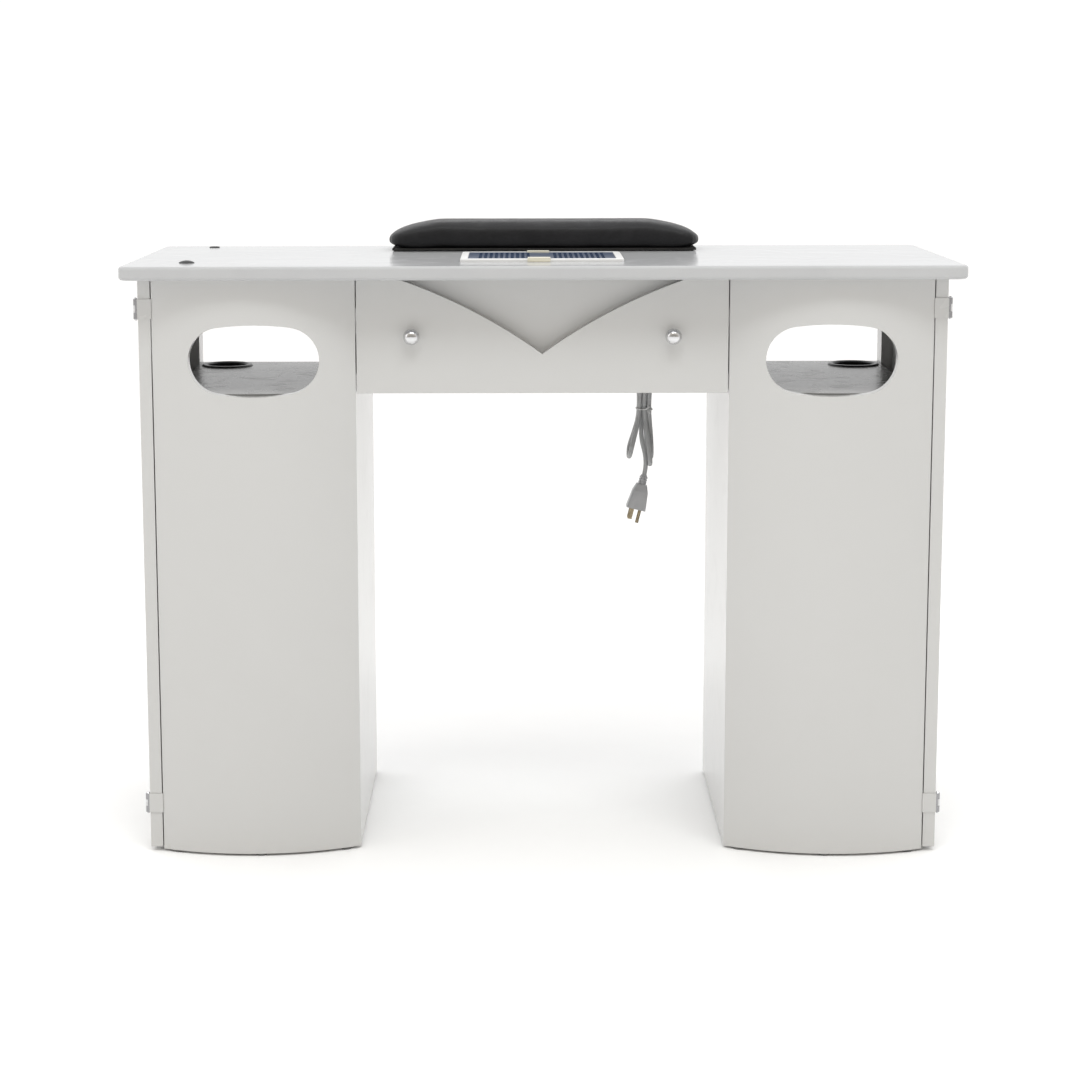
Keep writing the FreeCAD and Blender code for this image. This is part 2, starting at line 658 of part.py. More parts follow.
housing = box("housing_blank", (-dim.box_half_w, -dim.box_front, dim.box_low),
              (dim.box_half_w, dim.box_back, top_low))
inside = box("housing_inside", (dim.box_wall - dim.box_half_w, dim.box_wall - dim.box_front,
                                dim.box_low + dim.box_wall),
             (dim.box_half_w - dim.box_wall, dim.box_back - dim.box_wall, top_low + 1))
outlet = cylinder("housing_outlet", (0, dim.fan_y, dim.box_low - 1), dim.fan_bore, dim.box_wall + 2)
GLAND_R = 5
gland_hole = cylinder("gland_hole", (dim.cord_x, dim.cord_y, dim.box_low - 1), GLAND_R + 0.1,
                      dim.box_wall + 2)
SWITCH_X, SWITCH_Y, SWITCH_HALF_L, SWITCH_HALF_W = -115, 150, 14, 7
switch_hole = box("switch_hole", (SWITCH_X - SWITCH_HALF_L, SWITCH_Y - SWITCH_HALF_W, dim.box_low - 1),
                  (SWITCH_X + SWITCH_HALF_L, SWITCH_Y + SWITCH_HALF_W, dim.box_low + dim.box_wall + 1))
node(cut("housing_cut", housing, [inside, outlet, gland_hole, switch_hole]), "fan_housing")
node(box("rear_rail", (-dim.leg_in, dim.leg_back - dim.board, dim.box_low),
         (dim.leg_in, dim.leg_back, top_low)), "rear_rail")

fan_low = dim.box_low + dim.box_wall
frame = box("fan_frame_blank", (-dim.fan_half, dim.fan_y - dim.fan_half, fan_low),
            (dim.fan_half, dim.fan_y + dim.fan_half, fan_low + dim.fan_thick))
frame_bore = cylinder("fan_frame_bore", (0, dim.fan_y, fan_low - 1), dim.fan_bore, dim.fan_thick + 2)
STRUT = 4
STRUT_HIGH = 3
HUB_R = 19
struts = [box("fan_strut_x", (-dim.fan_bore - 1, dim.fan_y - STRUT / 2, fan_low),
              (dim.fan_bore + 1, dim.fan_y + STRUT / 2, fan_low + STRUT_HIGH)),
          box("fan_strut_y", (-STRUT / 2, dim.fan_y - dim.fan_bore - 1, fan_low),
              (STRUT / 2, dim.fan_y + dim.fan_bore + 1, fan_low + STRUT_HIGH)),
          cylinder("fan_motor_seat", (0, dim.fan_y, fan_low), HUB_R, STRUT_HIGH)]
SHAFT_R = 2.5
SHAFT_LONG = 14
axle = cylinder("fan_axle", (0, dim.fan_y, fan_low + STRUT_HIGH), SHAFT_R, SHAFT_LONG)
node(fuse("fan_frame_fuse", [cut("fan_frame_ring", frame, [frame_bore])] + struts + [axle]), "fan_frame")

BLADES = 7
BLADE_TIP = 53
BLADE_PITCH = 32
BLADE_WIDE = 18
BLADE_THICK = 1.6
HUB_HIGH = 16
rotor_low = plain(fan_low) + STRUT_HIGH + 0.5
hub = Part.makeCylinder(HUB_R, HUB_HIGH)
blade = Part.makeBox(BLADE_TIP - HUB_R + 2, BLADE_WIDE, BLADE_THICK,
                     Vector(HUB_R - 2, -BLADE_WIDE / 2, -BLADE_THICK / 2))
blade.rotate(Vector(), Vector(1, 0, 0), BLADE_PITCH)
blade.translate(Vector(0, 0, HUB_HIGH / 2))
rotor = hub
for i in range(BLADES):
    turned = blade.copy()
    turned.rotate(Vector(), Vector(0, 0, 1), 360 * i / BLADES)
    rotor = rotor.fuse(turned)
rotor = rotor.cut(Part.makeCylinder(SHAFT_R + PIN_PLAY, SHAFT_LONG + 0.5))
rotor_piece = free_shape("fan_rotor_shape", rotor.removeSplitter())
place(rotor_piece, (0, dim.fan_y, rotor_low))
node(rotor_piece, "fan_rotor")

GUARD_THICK = 2
GUARD_HALF = 62
WIRE_HALF = 2
GUARD_HOOPS = (20, 34, 48, 62)
guard_low = plain(dim.box_low) - GUARD_THICK
guard_arm = Part.makeBox(2 * GUARD_HALF, 2 * WIRE_HALF, GUARD_THICK, Vector(-GUARD_HALF, -WIRE_HALF, 0))
guard_post = Part.makeBox(2 * WIRE_HALF, 2 * GUARD_HALF, GUARD_THICK, Vector(-WIRE_HALF, -GUARD_HALF, 0))
guard = guard_arm.fuse(guard_post)
for radius in GUARD_HOOPS:
    hoop = Part.makeCylinder(radius, GUARD_THICK).cut(Part.makeCylinder(radius - 3, GUARD_THICK))
    guard = guard.fuse(hoop)
guard_piece = free_shape("fan_guard_shape", guard.removeSplitter())
place(guard_piece, (0, dim.fan_y, guard_low))
node(guard_piece, "fan_guard")

BEZEL_RIM = 2
switch_low = dim.box_low - 2
switch_case = box("switch_case", (SWITCH_X - SWITCH_HALF_L + 0.1, SWITCH_Y - SWITCH_HALF_W + 0.1, switch_low),
                  (SWITCH_X + SWITCH_HALF_L - 0.1, SWITCH_Y + SWITCH_HALF_W - 0.1, dim.box_low + 16))
switch_rim = box("switch_rim", (SWITCH_X - SWITCH_HALF_L - BEZEL_RIM, SWITCH_Y - SWITCH_HALF_W - BEZEL_RIM,
                                switch_low),
                 (SWITCH_X + SWITCH_HALF_L + BEZEL_RIM, SWITCH_Y + SWITCH_HALF_W + BEZEL_RIM, dim.box_low))
switch_well = box("switch_well", (SWITCH_X - 11, SWITCH_Y - 5.5, switch_low - 1),
                  (SWITCH_X + 11, SWITCH_Y + 5.5, dim.box_low + 12))
node(cut("switch_body_cut", fuse("switch_body_blank", [switch_case, switch_rim]), [switch_well]),
     "switch_body")
ROCKER_TILT = 8
rocker = Part.makeBox(19.6, 10, 6, Vector(-9.8, -5, -4))
rocker.rotate(Vector(), Vector(0, 1, 0), ROCKER_TILT)
pivot = Part.makeCylinder(1.4, 10.8, Vector(0, -5.4, 0), Vector(0, 1, 0))
rocker = rocker.fuse(pivot).removeSplitter()
rocker_piece = free_shape("switch_rocker_shape", rocker)
place(rocker_piece, (SWITCH_X, SWITCH_Y, dim.box_low + 2))
node(rocker_piece, "switch_rocker")

# ---- the mains cord: strain relief, lead, hank, tie, tail and plug ----

RELIEF_LONG = 24
relief = turned_body("strain_relief_body", [
    (0, 0), (3.8, 0), (GLAND_R, RELIEF_LONG - 3), (7.5, RELIEF_LONG - 3), (7.5, RELIEF_LONG),
    (GLAND_R, RELIEF_LONG),
    (GLAND_R, RELIEF_LONG + plain(dim.box_wall)), (0, RELIEF_LONG + plain(dim.box_wall))])
place(relief, (dim.cord_x, dim.cord_y, dim.box_low - RELIEF_LONG))
node(relief, "strain_relief")

cord_r = dim.cord_thick / 2
HANK_TOP = 668
HANK_LOW = 484
node(cylinder("cord_lead_tube", (dim.cord_x, dim.cord_y, HANK_TOP), cord_r,
              dim.box_low - RELIEF_LONG - HANK_TOP), "cord_lead")


def oval_wire(centre_x, centre_y, half_x, half_y, z):
    """A level oval, whichever way it is longer."""
    long_x = half_x >= half_y
    oval_edge = Part.Ellipse(Vector(), max(half_x, half_y), min(half_x, half_y)).toShape()
    if not long_x:
        oval_edge.rotate(Vector(), Vector(0, 0, 1), 90)
    oval_edge.translate(Vector(centre_x, centre_y, z))
    return Part.Wire([oval_edge])


TIE_Z = 565
hank_sections = ((148.5, 100, 14, 27, HANK_TOP), (148.5, 100, 14, 25, 625), (147.5, 100, 11.5, 13.5, TIE_Z),
                 (145, 101, 17, 24, 520), (142.5, 102, 19.5, 25, HANK_LOW))
hank = Part.makeLoft([oval_wire(*section) for section in hank_sections], True, True)
node(free_shape("cord_hank_shape", hank), "cord_hank")

tie_outer = Part.Face(oval_wire(147.5, 100, 14, 16, TIE_Z - 2)).extrude(Vector(0, 0, 4))
tie_inner = Part.Face(oval_wire(147.5, 100, 12.2, 14.4, TIE_Z - 3)).extrude(Vector(0, 0, 6))
node(free_shape("cord_tie_shape", tie_outer.cut(tie_inner)), "cord_tie")

TAIL = [Vector(150.5, 100, HANK_LOW), Vector(150, 100, 476.8), Vector(148.6, 100, 469.2)]


def tube(points, radius):
    """Straight runs joined by tangent arcs, each as large as its two runs allow."""
    edges = []
    start = points[0]
    length = 0
    for before, at, after in zip(points, points[1:], points[2:]):
        into, out = (at - before), (after - at)
        half_turn = into.getAngle(out) / 2
        bend = 0.45 * min(into.Length, out.Length) / math.tan(half_turn)
        print("cord bend radius", round(bend, 1))
        setback = bend * math.tan(half_turn)
        unit_in, unit_out = Vector(into).normalize(), Vector(out).normalize()
        first, last = at - unit_in * setback, at + unit_out * setback
        middle = at + (unit_out - unit_in).normalize() * bend * (1 / math.cos(half_turn) - 1)
        edges += [Part.LineSegment(start, first).toShape(), Part.Arc(first, middle, last).toShape()]
        length += (first - start).Length + 2 * half_turn * bend
        start = last
    edges.append(Part.LineSegment(start, points[-1]).toShape())
    length += (points[-1] - start).Length
    ring_edge = Part.Circle(points[0], points[1] - points[0], radius).toShape()
    solid = Part.Wire(edges).makePipeShell([Part.Wire([ring_edge])], True, True)
    print("cord tube volume", round(solid.Volume), "section times length",
          round(math.pi * radius ** 2 * length))
    return solid


node(free_shape("cord_tail_tube", tube(TAIL, plain(cord_r))), "cord_tail")

PLUG_TILT = 14
plug_place = FreeCAD.Placement(TAIL[-1], FreeCAD.Rotation(Vector(0, 1, 0), PLUG_TILT))
SLEEVE_LONG = 14
PLUG_LONG = 50


def rounded_rectangle(half_x, half_y, radius, z):
    block = Part.makeBox(2 * half_x, 2 * half_y, 1, Vector(-half_x, -half_y, z))
    upright = [edge for edge in block.Edges if edge.BoundBox.ZLength > 0.5]
    block = block.makeFillet(radius, upright)
    return next(face for face in block.Faces if abs(face.BoundBox.ZMax - z) < 1e-6).OuterWire


ribbed = Part.makeCone(5.6, 4.2, SLEEVE_LONG, Vector(0, 0, -SLEEVE_LONG))
for i in range(3):
    ribbed = ribbed.fuse(Part.makeCylinder(5.9, 2, Vector(0, 0, -4.5 - 3.6 * i)))
plug_sleeve = free_shape("plug_sleeve_shape", ribbed.removeSplitter())
plug_sleeve.Placement = plug_place
node(plug_sleeve, "plug_sleeve")
plug_wires = [rounded_rectangle(7.5, 7.5, 3, -SLEEVE_LONG), rounded_rectangle(11, 10, 3, -SLEEVE_LONG - 10),
              rounded_rectangle(14, 11.5, 3, -PLUG_LONG)]
plug_body = free_shape("plug_body_shape", Part.makeLoft(plug_wires, True, True))
plug_body.Placement = plug_place
node(plug_body, "plug_body")
blades = [Part.makeBox(6.3, 1.5, 16, Vector(-8.6, y - 0.75, -PLUG_LONG - 16)) for y in (-6.35, 6.35)]
plug_blades = free_shape("plug_blades_shape", Part.makeCompound(blades))
plug_blades.Placement = plug_place
node(plug_blades, "plug_blades")
plug_pin = free_shape("plug_pin_shape", Part.makeCylinder(2.4, 20, Vector(6.4, 0, -PLUG_LONG - 20)))
plug_pin.Placement = plug_place
node(plug_pin, "plug_pin")

# ---- the armrest, a loose pad on a board with felt feet ----

FELT = 1.5
REST_BOARD = 3
REST_HIGH = 36
REST_END = 17
REST_SLOPE = 75
rest_low = dim.table_high + FELT + REST_BOARD
rest_deep = dim.rest_back - dim.rest_front
rest_top = rest_low + REST_HIGH
pad_points = [(-dim.rest_half_w, rest_low + 6), (6 - dim.rest_half_w, rest_low),
              (dim.rest_half_w - 6, rest_low),
              (dim.rest_half_w, rest_low + 6), (dim.rest_half_w, rest_low + REST_END),
              (dim.rest_half_w - REST_SLOPE, rest_top), (REST_SLOPE - dim.rest_half_w, rest_top),
              (-dim.rest_half_w, rest_low + REST_END)]
rest_pad = padded_body("armrest_pad_body", "XZ_Plane", pad_points, rest_deep)
place(rest_pad, (dim.rest_x, dim.rest_back, 0))
node(rest_pad, "armrest_pad")
INSET = 12
rest_x0 = dim.rest_x - dim.rest_half_w + INSET
rest_x1 = dim.rest_x + dim.rest_half_w - INSET
node(box("armrest_board", (rest_x0, dim.rest_front + INSET, dim.table_high + FELT),
         (rest_x1, dim.rest_back - INSET, rest_low)),
     "armrest_board")
felts = [cylinder(f"felt_{i}", (x, y, dim.table_high), 9, FELT)
         for i, (x, y) in enumerate(((rest_x0 + 12, dim.rest_front + 24), (rest_x1 - 12, dim.rest_front + 24),
                                     (rest_x0 + 12, dim.rest_back - 24), (rest_x1 - 12, dim.rest_back - 24)))]
node(group("felt_set", felts), "armrest_feet")

# ---- check every object and write the pieces ----

doc.recompute()
failed = [thing.Name for thing in doc.Objects if {"Invalid", "Error"} & set(thing.State)]
if failed:
    raise ValueError("failed objects: " + ", ".join(failed))
os.makedirs("parts", exist_ok=True)
for piece in nodes:
    if piece.Shape.isNull() or not piece.Shape.isValid():
        raise ValueError(piece.Label + " has no valid shape")
    piece.Shape.exportStep(f"parts/{piece.Label}.step")
print(len(nodes), "nodes written")
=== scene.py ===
import math

import bmesh
import bpy
from mathutils import Matrix, Vector


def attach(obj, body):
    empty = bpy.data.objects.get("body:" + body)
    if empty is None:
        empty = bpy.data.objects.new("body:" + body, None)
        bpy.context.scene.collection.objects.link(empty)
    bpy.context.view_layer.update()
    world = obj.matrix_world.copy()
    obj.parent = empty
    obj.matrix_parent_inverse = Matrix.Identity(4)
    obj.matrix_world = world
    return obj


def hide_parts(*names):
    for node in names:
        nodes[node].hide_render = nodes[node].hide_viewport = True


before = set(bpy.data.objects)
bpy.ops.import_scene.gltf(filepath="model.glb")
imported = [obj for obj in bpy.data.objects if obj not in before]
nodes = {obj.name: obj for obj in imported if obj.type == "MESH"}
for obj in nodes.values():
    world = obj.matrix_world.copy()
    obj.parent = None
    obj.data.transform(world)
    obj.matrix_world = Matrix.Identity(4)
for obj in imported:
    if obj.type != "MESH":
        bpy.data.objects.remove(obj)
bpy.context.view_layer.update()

# ---------------------------------------------------------------------------------------------
# The room. A seamless pale floor of matt paper, white walls that are dimmer and warmer on the near
# side under a bright ceiling, soft lamps above the front and to the left, and the eye of a person
# who stands 3 m away.

eye = bpy.data.objects.new("eye", bpy.data.cameras.new("eye"))
eye.data.sensor_width = 36
eye.data.lens = 78.076
eye.data.shift_x = 0.03704
eye.data.shift_y = -0.08333
eye.data.clip_end = 60
EYE_YAW, EYE_PITCH, EYE_ROLL = -0.0079, 0.14946, -0.00253
eye.matrix_world = (
    Matrix.Translation((-0.0316028, -3.2102023, 1.0037382))
    @ Matrix.Rotation(-EYE_YAW, 4, "Z")
    @ Matrix.Rotation(math.pi / 2 - EYE_PITCH, 4, "X")
    @ Matrix.Rotation(EYE_ROLL, 4, "Z")
)
bpy.context.scene.collection.objects.link(eye)
bpy.context.scene.camera = eye


def lay(tree, kind, inputs=None, **settings):
    """Adds one shader node, with its inputs set or linked."""
    made = tree.nodes.new("ShaderNode" + kind)
    for name, value in settings.items():
        setattr(made, name, value)
    for name, value in (inputs or {}).items():
        if isinstance(value, bpy.types.NodeSocket):
            tree.links.new(value, made.inputs[name])
        else:
            made.inputs[name].default_value = value
    return made


def new_finish(name, **constants):
    """A material with its constants set on the shader: (material, tree, shader, object coordinates)."""
    finish = bpy.data.materials.new(name)
    finish.use_nodes = True
    tree = finish.node_tree
    shader = tree.nodes["Principled BSDF"]
    for socket, value in constants.items():
        shader.inputs[socket.replace("_", " ")].default_value = value
    return finish, tree, shader, lay(tree, "TexCoord").outputs["Object"]


def shades(tree, mask, *stops):
    """A ramp of colours along a mask. Each stop is a position and a colour."""
    ramp = lay(tree, "ValToRGB", {"Fac": mask})
    elements = ramp.color_ramp.elements
    for i, (position, colour) in enumerate(stops):
        element = elements[i] if i < 2 else elements.new(position)
        element.position, element.color = position, (*colour, 1)
    return ramp.outputs["Color"]


def levels(tree, mask, low, high, start=0.0, end=1.0):
    """A mask from start to end, stretched to run from low to high."""
    made = lay(tree, "MapRange", {"Value": mask, "From Min": start, "From Max": end, "To Min": low,
                                  "To Max": high})
    return made.outputs["Result"]


def mixed(tree, mask, colour, other):
    """One colour laid over another where the mask is."""
    made = lay(tree, "Mix", {0: mask}, data_type="RGBA")
    for place, value in ((6, colour), (7, other)):
        if isinstance(value, bpy.types.NodeSocket):
            tree.links.new(value, made.inputs[place])
        else:
            made.inputs[place].default_value = (*value, 1)
    return made.outputs[2]


def feed(tree, shader, **links):
    """Links what varies over the surface into the shader."""
    for socket, value in links.items():
        tree.links.new(value, shader.inputs[socket.replace("_", " ")])


paper, tree, shader, where = new_finish("floor_paper", Roughness=0.75, Specular_IOR_Level=0.25)
fleck = lay(tree, "TexNoise", {"Vector": where, "Scale": 14.0, "Detail": 6.0}).outputs["Fac"]
feed(tree, shader, Base_Color=shades(tree, fleck, (0.3, (0.975, 0.975, 0.975)), (0.7, (0.985, 0.985, 0.985))))
FLOOR_REACH, FLOOR_DROP = 30, -0.0002
floor_mesh = bpy.data.meshes.new("floor")
FLOOR_CORNERS = ((-1, -1), (1, -1), (1, 1), (-1, 1))
floor_mesh.from_pydata([(x * FLOOR_REACH, y * FLOOR_REACH, FLOOR_DROP) for x, y in FLOOR_CORNERS], [], [(0, 1, 2, 3)])
floor_mesh.materials.append(paper)
floor = bpy.data.objects.new("floor", floor_mesh)
bpy.context.scene.collection.objects.link(floor)

sky = bpy.data.worlds.new("white_room")
sky.use_nodes = True
walls = sky.node_tree
glow = walls.nodes["Background"].inputs
facing = lay(walls, "SeparateXYZ", {"Vector": lay(walls, "TexCoord").outputs["Generated"]}).outputs
far_side = levels(walls, facing["Y"], 0.42, 1.04, -0.9, 0.15)
ceiling = levels(walls, facing["Z"], 0.0, 0.33, 0.25, 0.9)
walls.links.new(lay(walls, "Math", {0: far_side, 1: ceiling}, operation="ADD").outputs["Value"],
                glow["Strength"])
walls.links.new(mixed(walls, levels(walls, facing["Y"], 1.0, 0.0, -0.7, 0.0), (1, 1, 1), (1.0, 0.94, 0.85)),
                glow["Color"])
bpy.context.scene.world = sky


def soft_lamp(name, place, target, size, power, tone=(1, 1, 1)):
    """A square soft box that faces the target."""
    lamp = bpy.data.objects.new(name, bpy.data.lights.new(name, "AREA"))
    lamp.data.shape = "RECTANGLE"
    lamp.data.size, lamp.data.size_y = size
    lamp.data.energy = power
    lamp.data.color = tone
    lamp.location = place
    lamp.rotation_euler = (Vector(place) - Vector(target)).to_track_quat("Z", "Y").to_euler()
    bpy.context.scene.collection.objects.link(lamp)


soft_lamp("front_lamp", (0.3, -1.75, 3.3), (0, 0, 0.3), (2.4, 0.8), 38, (0.955, 0.985, 1.0))
soft_lamp("left_lamp", (-3.2, -1.2, 1.9), (0, 0, 0.5), (1.4, 2.2), 8)
bpy.context.scene.view_settings.view_transform = "Standard"

# ---------------------------------------------------------------------------------------------
# The carcass. Two pedestals of 16 mm board with a bent front sheet, all sprayed with white
# semi-gloss lacquer: stiles, rails, backs and shelves glued and doweled between the sides.


def effect(name, sockets_in, sockets_out):
    """An empty shader node group with named inputs and outputs: (group, tree inputs, tree output node)."""
    group = bpy.data.node_groups.new(name, "ShaderNodeTree")
    for label, kind, value in sockets_in:
        socket = group.interface.new_socket(name=label, in_out="INPUT", socket_type="NodeSocket" + kind)
        if value is not None:
            socket.default_value = value
    for label, kind in sockets_out:
        group.interface.new_socket(name=label, in_out="OUTPUT", socket_type="NodeSocket" + kind)
    return group, group.nodes.new("NodeGroupInput").outputs, group.nodes.new("NodeGroupOutput")


def use(tree, group, **values):
    """Places an effect in a material with its own values."""
    made = tree.nodes.new("ShaderNodeGroup")
    made.node_tree = group
    for label, value in values.items():
        socket = made.inputs[label.replace("_", " ")]
        if isinstance(value, bpy.types.NodeSocket):
            tree.links.new(value, socket)
        else:
            socket.default_value = value
    return made.outputs


# Sprayed or moulded skin: a fine ripple in the surface, slow clouds of tone and greasy finger smudges.
skin, put, out = effect(
    "skin",
    [("Place", "Vector", None), ("Ripple size", "Float", 400.0), ("Ripple depth", "Float", 0.05),
     ("Cloud size", "Float", 4.0)],
    [("Normal", "Vector"), ("Cloud", "Float"), ("Smudge", "Float")],
)
ripple = lay(skin, "TexNoise", {"Vector": put["Place"], "Scale": put["Ripple size"], "Detail": 3.0,
                                "Roughness": 0.55})
relief = lay(skin, "Bump", {"Height": ripple.outputs["Fac"], "Strength": put["Ripple depth"],
                            "Distance": 0.0004})
skin.links.new(relief.outputs["Normal"], out.inputs["Normal"])
cloud = lay(skin, "TexNoise", {"Vector": put["Place"], "Scale": put["Cloud size"], "Detail": 4.0,
                               "Distortion": 0.6})
skin.links.new(cloud.outputs["Fac"], out.inputs["Cloud"])
finger = lay(skin, "TexNoise", {"Vector": put["Place"], "Scale": 17.0, "Detail": 5.0, "Distortion": 1.4})
skin.links.new(levels(skin, finger.outputs["Fac"], 0.0, 1.0, 0.52, 0.72), out.inputs["Smudge"])

# Rubbed edges: where the rounded normal turns away from the flat one, broken up by fine noise.
rubbed, put, out = effect(
    "rubbed_edges",
    [("Place", "Vector", None), ("Rounded", "Vector", None), ("Amount", "Float", 1.0)],
    [("Mask", "Float")],
)
flat_way = lay(rubbed, "NewGeometry").outputs["Normal"]
turned = lay(rubbed, "VectorMath", {0: put["Rounded"], 1: flat_way}, operation="DOT_PRODUCT").outputs["Value"]
edge = levels(rubbed, turned, 1.0, 0.0, 0.86, 1.0)
chip = lay(rubbed, "TexNoise", {"Vector": put["Place"], "Scale": 90.0, "Detail": 6.0,
                                "Roughness": 0.7}).outputs["Fac"]
worn = lay(rubbed, "Math", {0: edge, 1: levels(rubbed, chip, 0.15, 1.0, 0.4, 0.65)},
           operation="MULTIPLY").outputs["Value"]
scaled = lay(rubbed, "Math", {0: worn, 1: put["Amount"]}, operation="MULTIPLY",
             use_clamp=True).outputs["Value"]
rubbed.links.new(scaled, out.inputs["Mask"])

# Dust: thin where a face looks up, thicker near the floor, in soft grains.
dust, put, out = effect(
    "dust",
    [("Place", "Vector", None), ("Amount", "Float", 0.3), ("Reach", "Float", 0.12)],
    [("Mask", "Float")],
)
height = lay(dust, "SeparateXYZ", {"Vector": put["Place"]}).outputs["Z"]
near_floor = lay(dust, "MapRange", {"Value": height, "From Max": put["Reach"], "To Min": 1.0,
                                    "To Max": 0.0}).outputs["Result"]
upward = lay(dust, "SeparateXYZ", {"Vector": lay(dust, "NewGeometry").outputs["Normal"]}).outputs["Z"]
lying = levels(dust, upward, 0.0, 0.45, 0.4, 1.0)
either = lay(dust, "Math", {0: near_floor, 1: lying}, operation="MAXIMUM").outputs["Value"]
grain = lay(dust, "TexNoise", {"Vector": put["Place"], "Scale": 260.0, "Detail": 4.0,
                               "Roughness": 0.7}).outputs["Fac"]
speckled = lay(dust, "Math", {0: either, 1: levels(dust, grain, 0.1, 1.0, 0.35, 0.7)},
               operation="MULTIPLY").outputs["Value"]
scaled = lay(dust, "Math", {0: speckled, 1: put["Amount"]}, operation="MULTIPLY",
             use_clamp=True).outputs["Value"]
dust.links.new(scaled, out.inputs["Mask"])


def lacquered(name, pale, shaded, grime, gloss, edge_round):
    """White sprayed board: soft clouds of tone, rounded edges, a little dust low down."""
    finish, tree, shader, where = new_finish(
        name, Specular_IOR_Level=0.5, Coat_Weight=0.45, Coat_Roughness=0.12, Coat_IOR=1.48
    )
    film = use(tree, skin, Place=where, Ripple_size=170.0, Ripple_depth=0.012, Cloud_size=2.2)
    rounded = lay(tree, "Bevel", {"Radius": edge_round, "Normal": film["Normal"]},
                  samples=4).outputs["Normal"]
    rim = use(tree, rubbed, Place=where, Rounded=rounded, Amount=0.25)["Mask"]
    dirt = use(tree, dust, Place=where, Amount=0.25, Reach=0.05)["Mask"]
    clouds = shades(tree, film["Cloud"], (0.3, shaded), (0.66, pale))
    colour = mixed(tree, dirt, mixed(tree, rim, clouds, grime), (0.56, 0.54, 0.51))
    feed(tree, shader, Base_Color=colour, Normal=rounded,
         Roughness=levels(tree, film["Smudge"], gloss, gloss + 0.05))
    return finish


def dress(finish, *names):
    """Gives a finish to nodes of the frame whose shape is already right."""
    for name in names:
        nodes[name].data.materials.clear()
        nodes[name].data.materials.append(finish)


lacquer = lacquered("white_lacquer", (0.59, 0.59, 0.583), (0.575, 0.575, 0.568), (0.545, 0.54, 0.525), 0.28,
                    0.0009)
dress(lacquer, "left_front_panel", "right_front_panel", "left_inner_side", "right_inner_side", "rear_stiles",
      "top_rails", "back_panels", "lower_shelves", "bottom_boards", "rear_rail")

# ---------------------------------------------------------------------------------------------
# The open shelves. The two boards behind the oval windows are faced with a smooth grey
# laminate, and a black moulded ring is pressed into a hole at the outer back corner of each.

laminate, tree, shader, where = new_finish("grey_laminate", Specular_IOR_Level=0.25, Coat_Weight=0.05,
                                           Coat_Roughness=0.1)
film = use(tree, skin, Place=where, Ripple_size=220.0, Ripple_depth=0.004, Cloud_size=7.0)
scuff = use(tree, dust, Place=where, Amount=0.5, Reach=0.01)["Mask"]
tone = shades(tree, film["Cloud"], (0.32, (0.20, 0.199, 0.195)), (0.68, (0.22, 0.219, 0.214)))
feed(tree, shader, Base_Color=mixed(tree, scuff, tone, (0.34, 0.335, 0.325)), Normal=film["Normal"],
     Roughness=levels(tree, film["Smudge"], 0.26, 0.33))
dress(laminate, "left_upper_shelf", "right_upper_shelf")


def moulded(name, colour, other, gloss, grain_size=900.0, grain_depth=0.12, coat=0.0, rim_tone=None,
            rim=0.0005):
    """Injection-moulded plastic: a fine spark-eroded grain and paler rubbed edges."""
    finish, tree, shader, where = new_finish(name, Specular_IOR_Level=0.5, Coat_Weight=coat,
                                             Coat_Roughness=0.15)
    film = use(tree, skin, Place=where, Ripple_size=grain_size, Ripple_depth=grain_depth, Cloud_size=22.0)
    rounded = lay(tree, "Bevel", {"Radius": rim, "Normal": film["Normal"]}, samples=4).outputs["Normal"]
    worn = use(tree, rubbed, Place=where, Rounded=rounded, Amount=0.6)["Mask"]
    tone = shades(tree, film["Cloud"], (0.3, colour), (0.7, other))
    feed(tree, shader, Base_Color=mixed(tree, worn, tone, rim_tone or other), Normal=rounded,
         Roughness=levels(tree, film["Smudge"], gloss, gloss + 0.15))
    return finish


black_plastic = moulded("black_plastic", (0.012, 0.012, 0.013), (0.02, 0.02, 0.021), 0.32,
                        rim_tone=(0.09, 0.09, 0.09))
dress(black_plastic, "shelf_rings", "catch_magnets")

# ---------------------------------------------------------------------------------------------
# Feet and irons. Nylon glides nailed under the pedestals, and pressed zinc-plated angle
# brackets that screw the top to both sides and the rails.

nylon = moulded("grey_nylon", (0.10, 0.10, 0.10), (0.16, 0.16, 0.155), 0.45, rim_tone=(0.3, 0.3, 0.29))
dress(nylon, "floor_glides")


# Worked metal: fine lines along one direction and dull patches.
lined, put, out = effect(
    "lined_metal",
    [("Place", "Vector", None), ("Line depth", "Float", 0.1), ("Line size", "Float", 300.0)],
    [("Normal", "Vector"), ("Patch", "Float"), ("Line", "Float")],
)
drawn_out = lay(lined, "VectorMath", {0: put["Place"], 1: (1.0, 0.06, 1.0)},
                operation="MULTIPLY").outputs["Vector"]
line = lay(lined, "TexNoise", {"Vector": drawn_out, "Scale": put["Line size"], "Detail": 5.0}).outputs["Fac"]
scored = lay(lined, "Bump", {"Height": line, "Strength": put["Line depth"],
                             "Distance": 0.0002}).outputs["Normal"]
patch = lay(lined, "TexVoronoi", {"Vector": put["Place"], "Scale": 180.0},
            feature="SMOOTH_F1").outputs["Distance"]
lined.links.new(scored, out.inputs["Normal"])
lined.links.new(patch, out.inputs["Patch"])
lined.links.new(line, out.inputs["Line"])


def metal(name, dark, bright, low, high, line_depth):
    """Plated or drawn metal, whose tone and gloss change from patch to patch."""
    finish, tree, shader, where = new_finish(name, Metallic=1.0)
    work = use(tree, lined, Place=where, Line_depth=line_depth, Line_size=420.0)
    feed(tree, shader, Base_Color=shades(tree, work["Patch"], (0.1, bright), (0.8, dark)),
         Normal=work["Normal"],
         Roughness=levels(tree, work["Line"], low, high, 0.3, 0.7))
    return finish


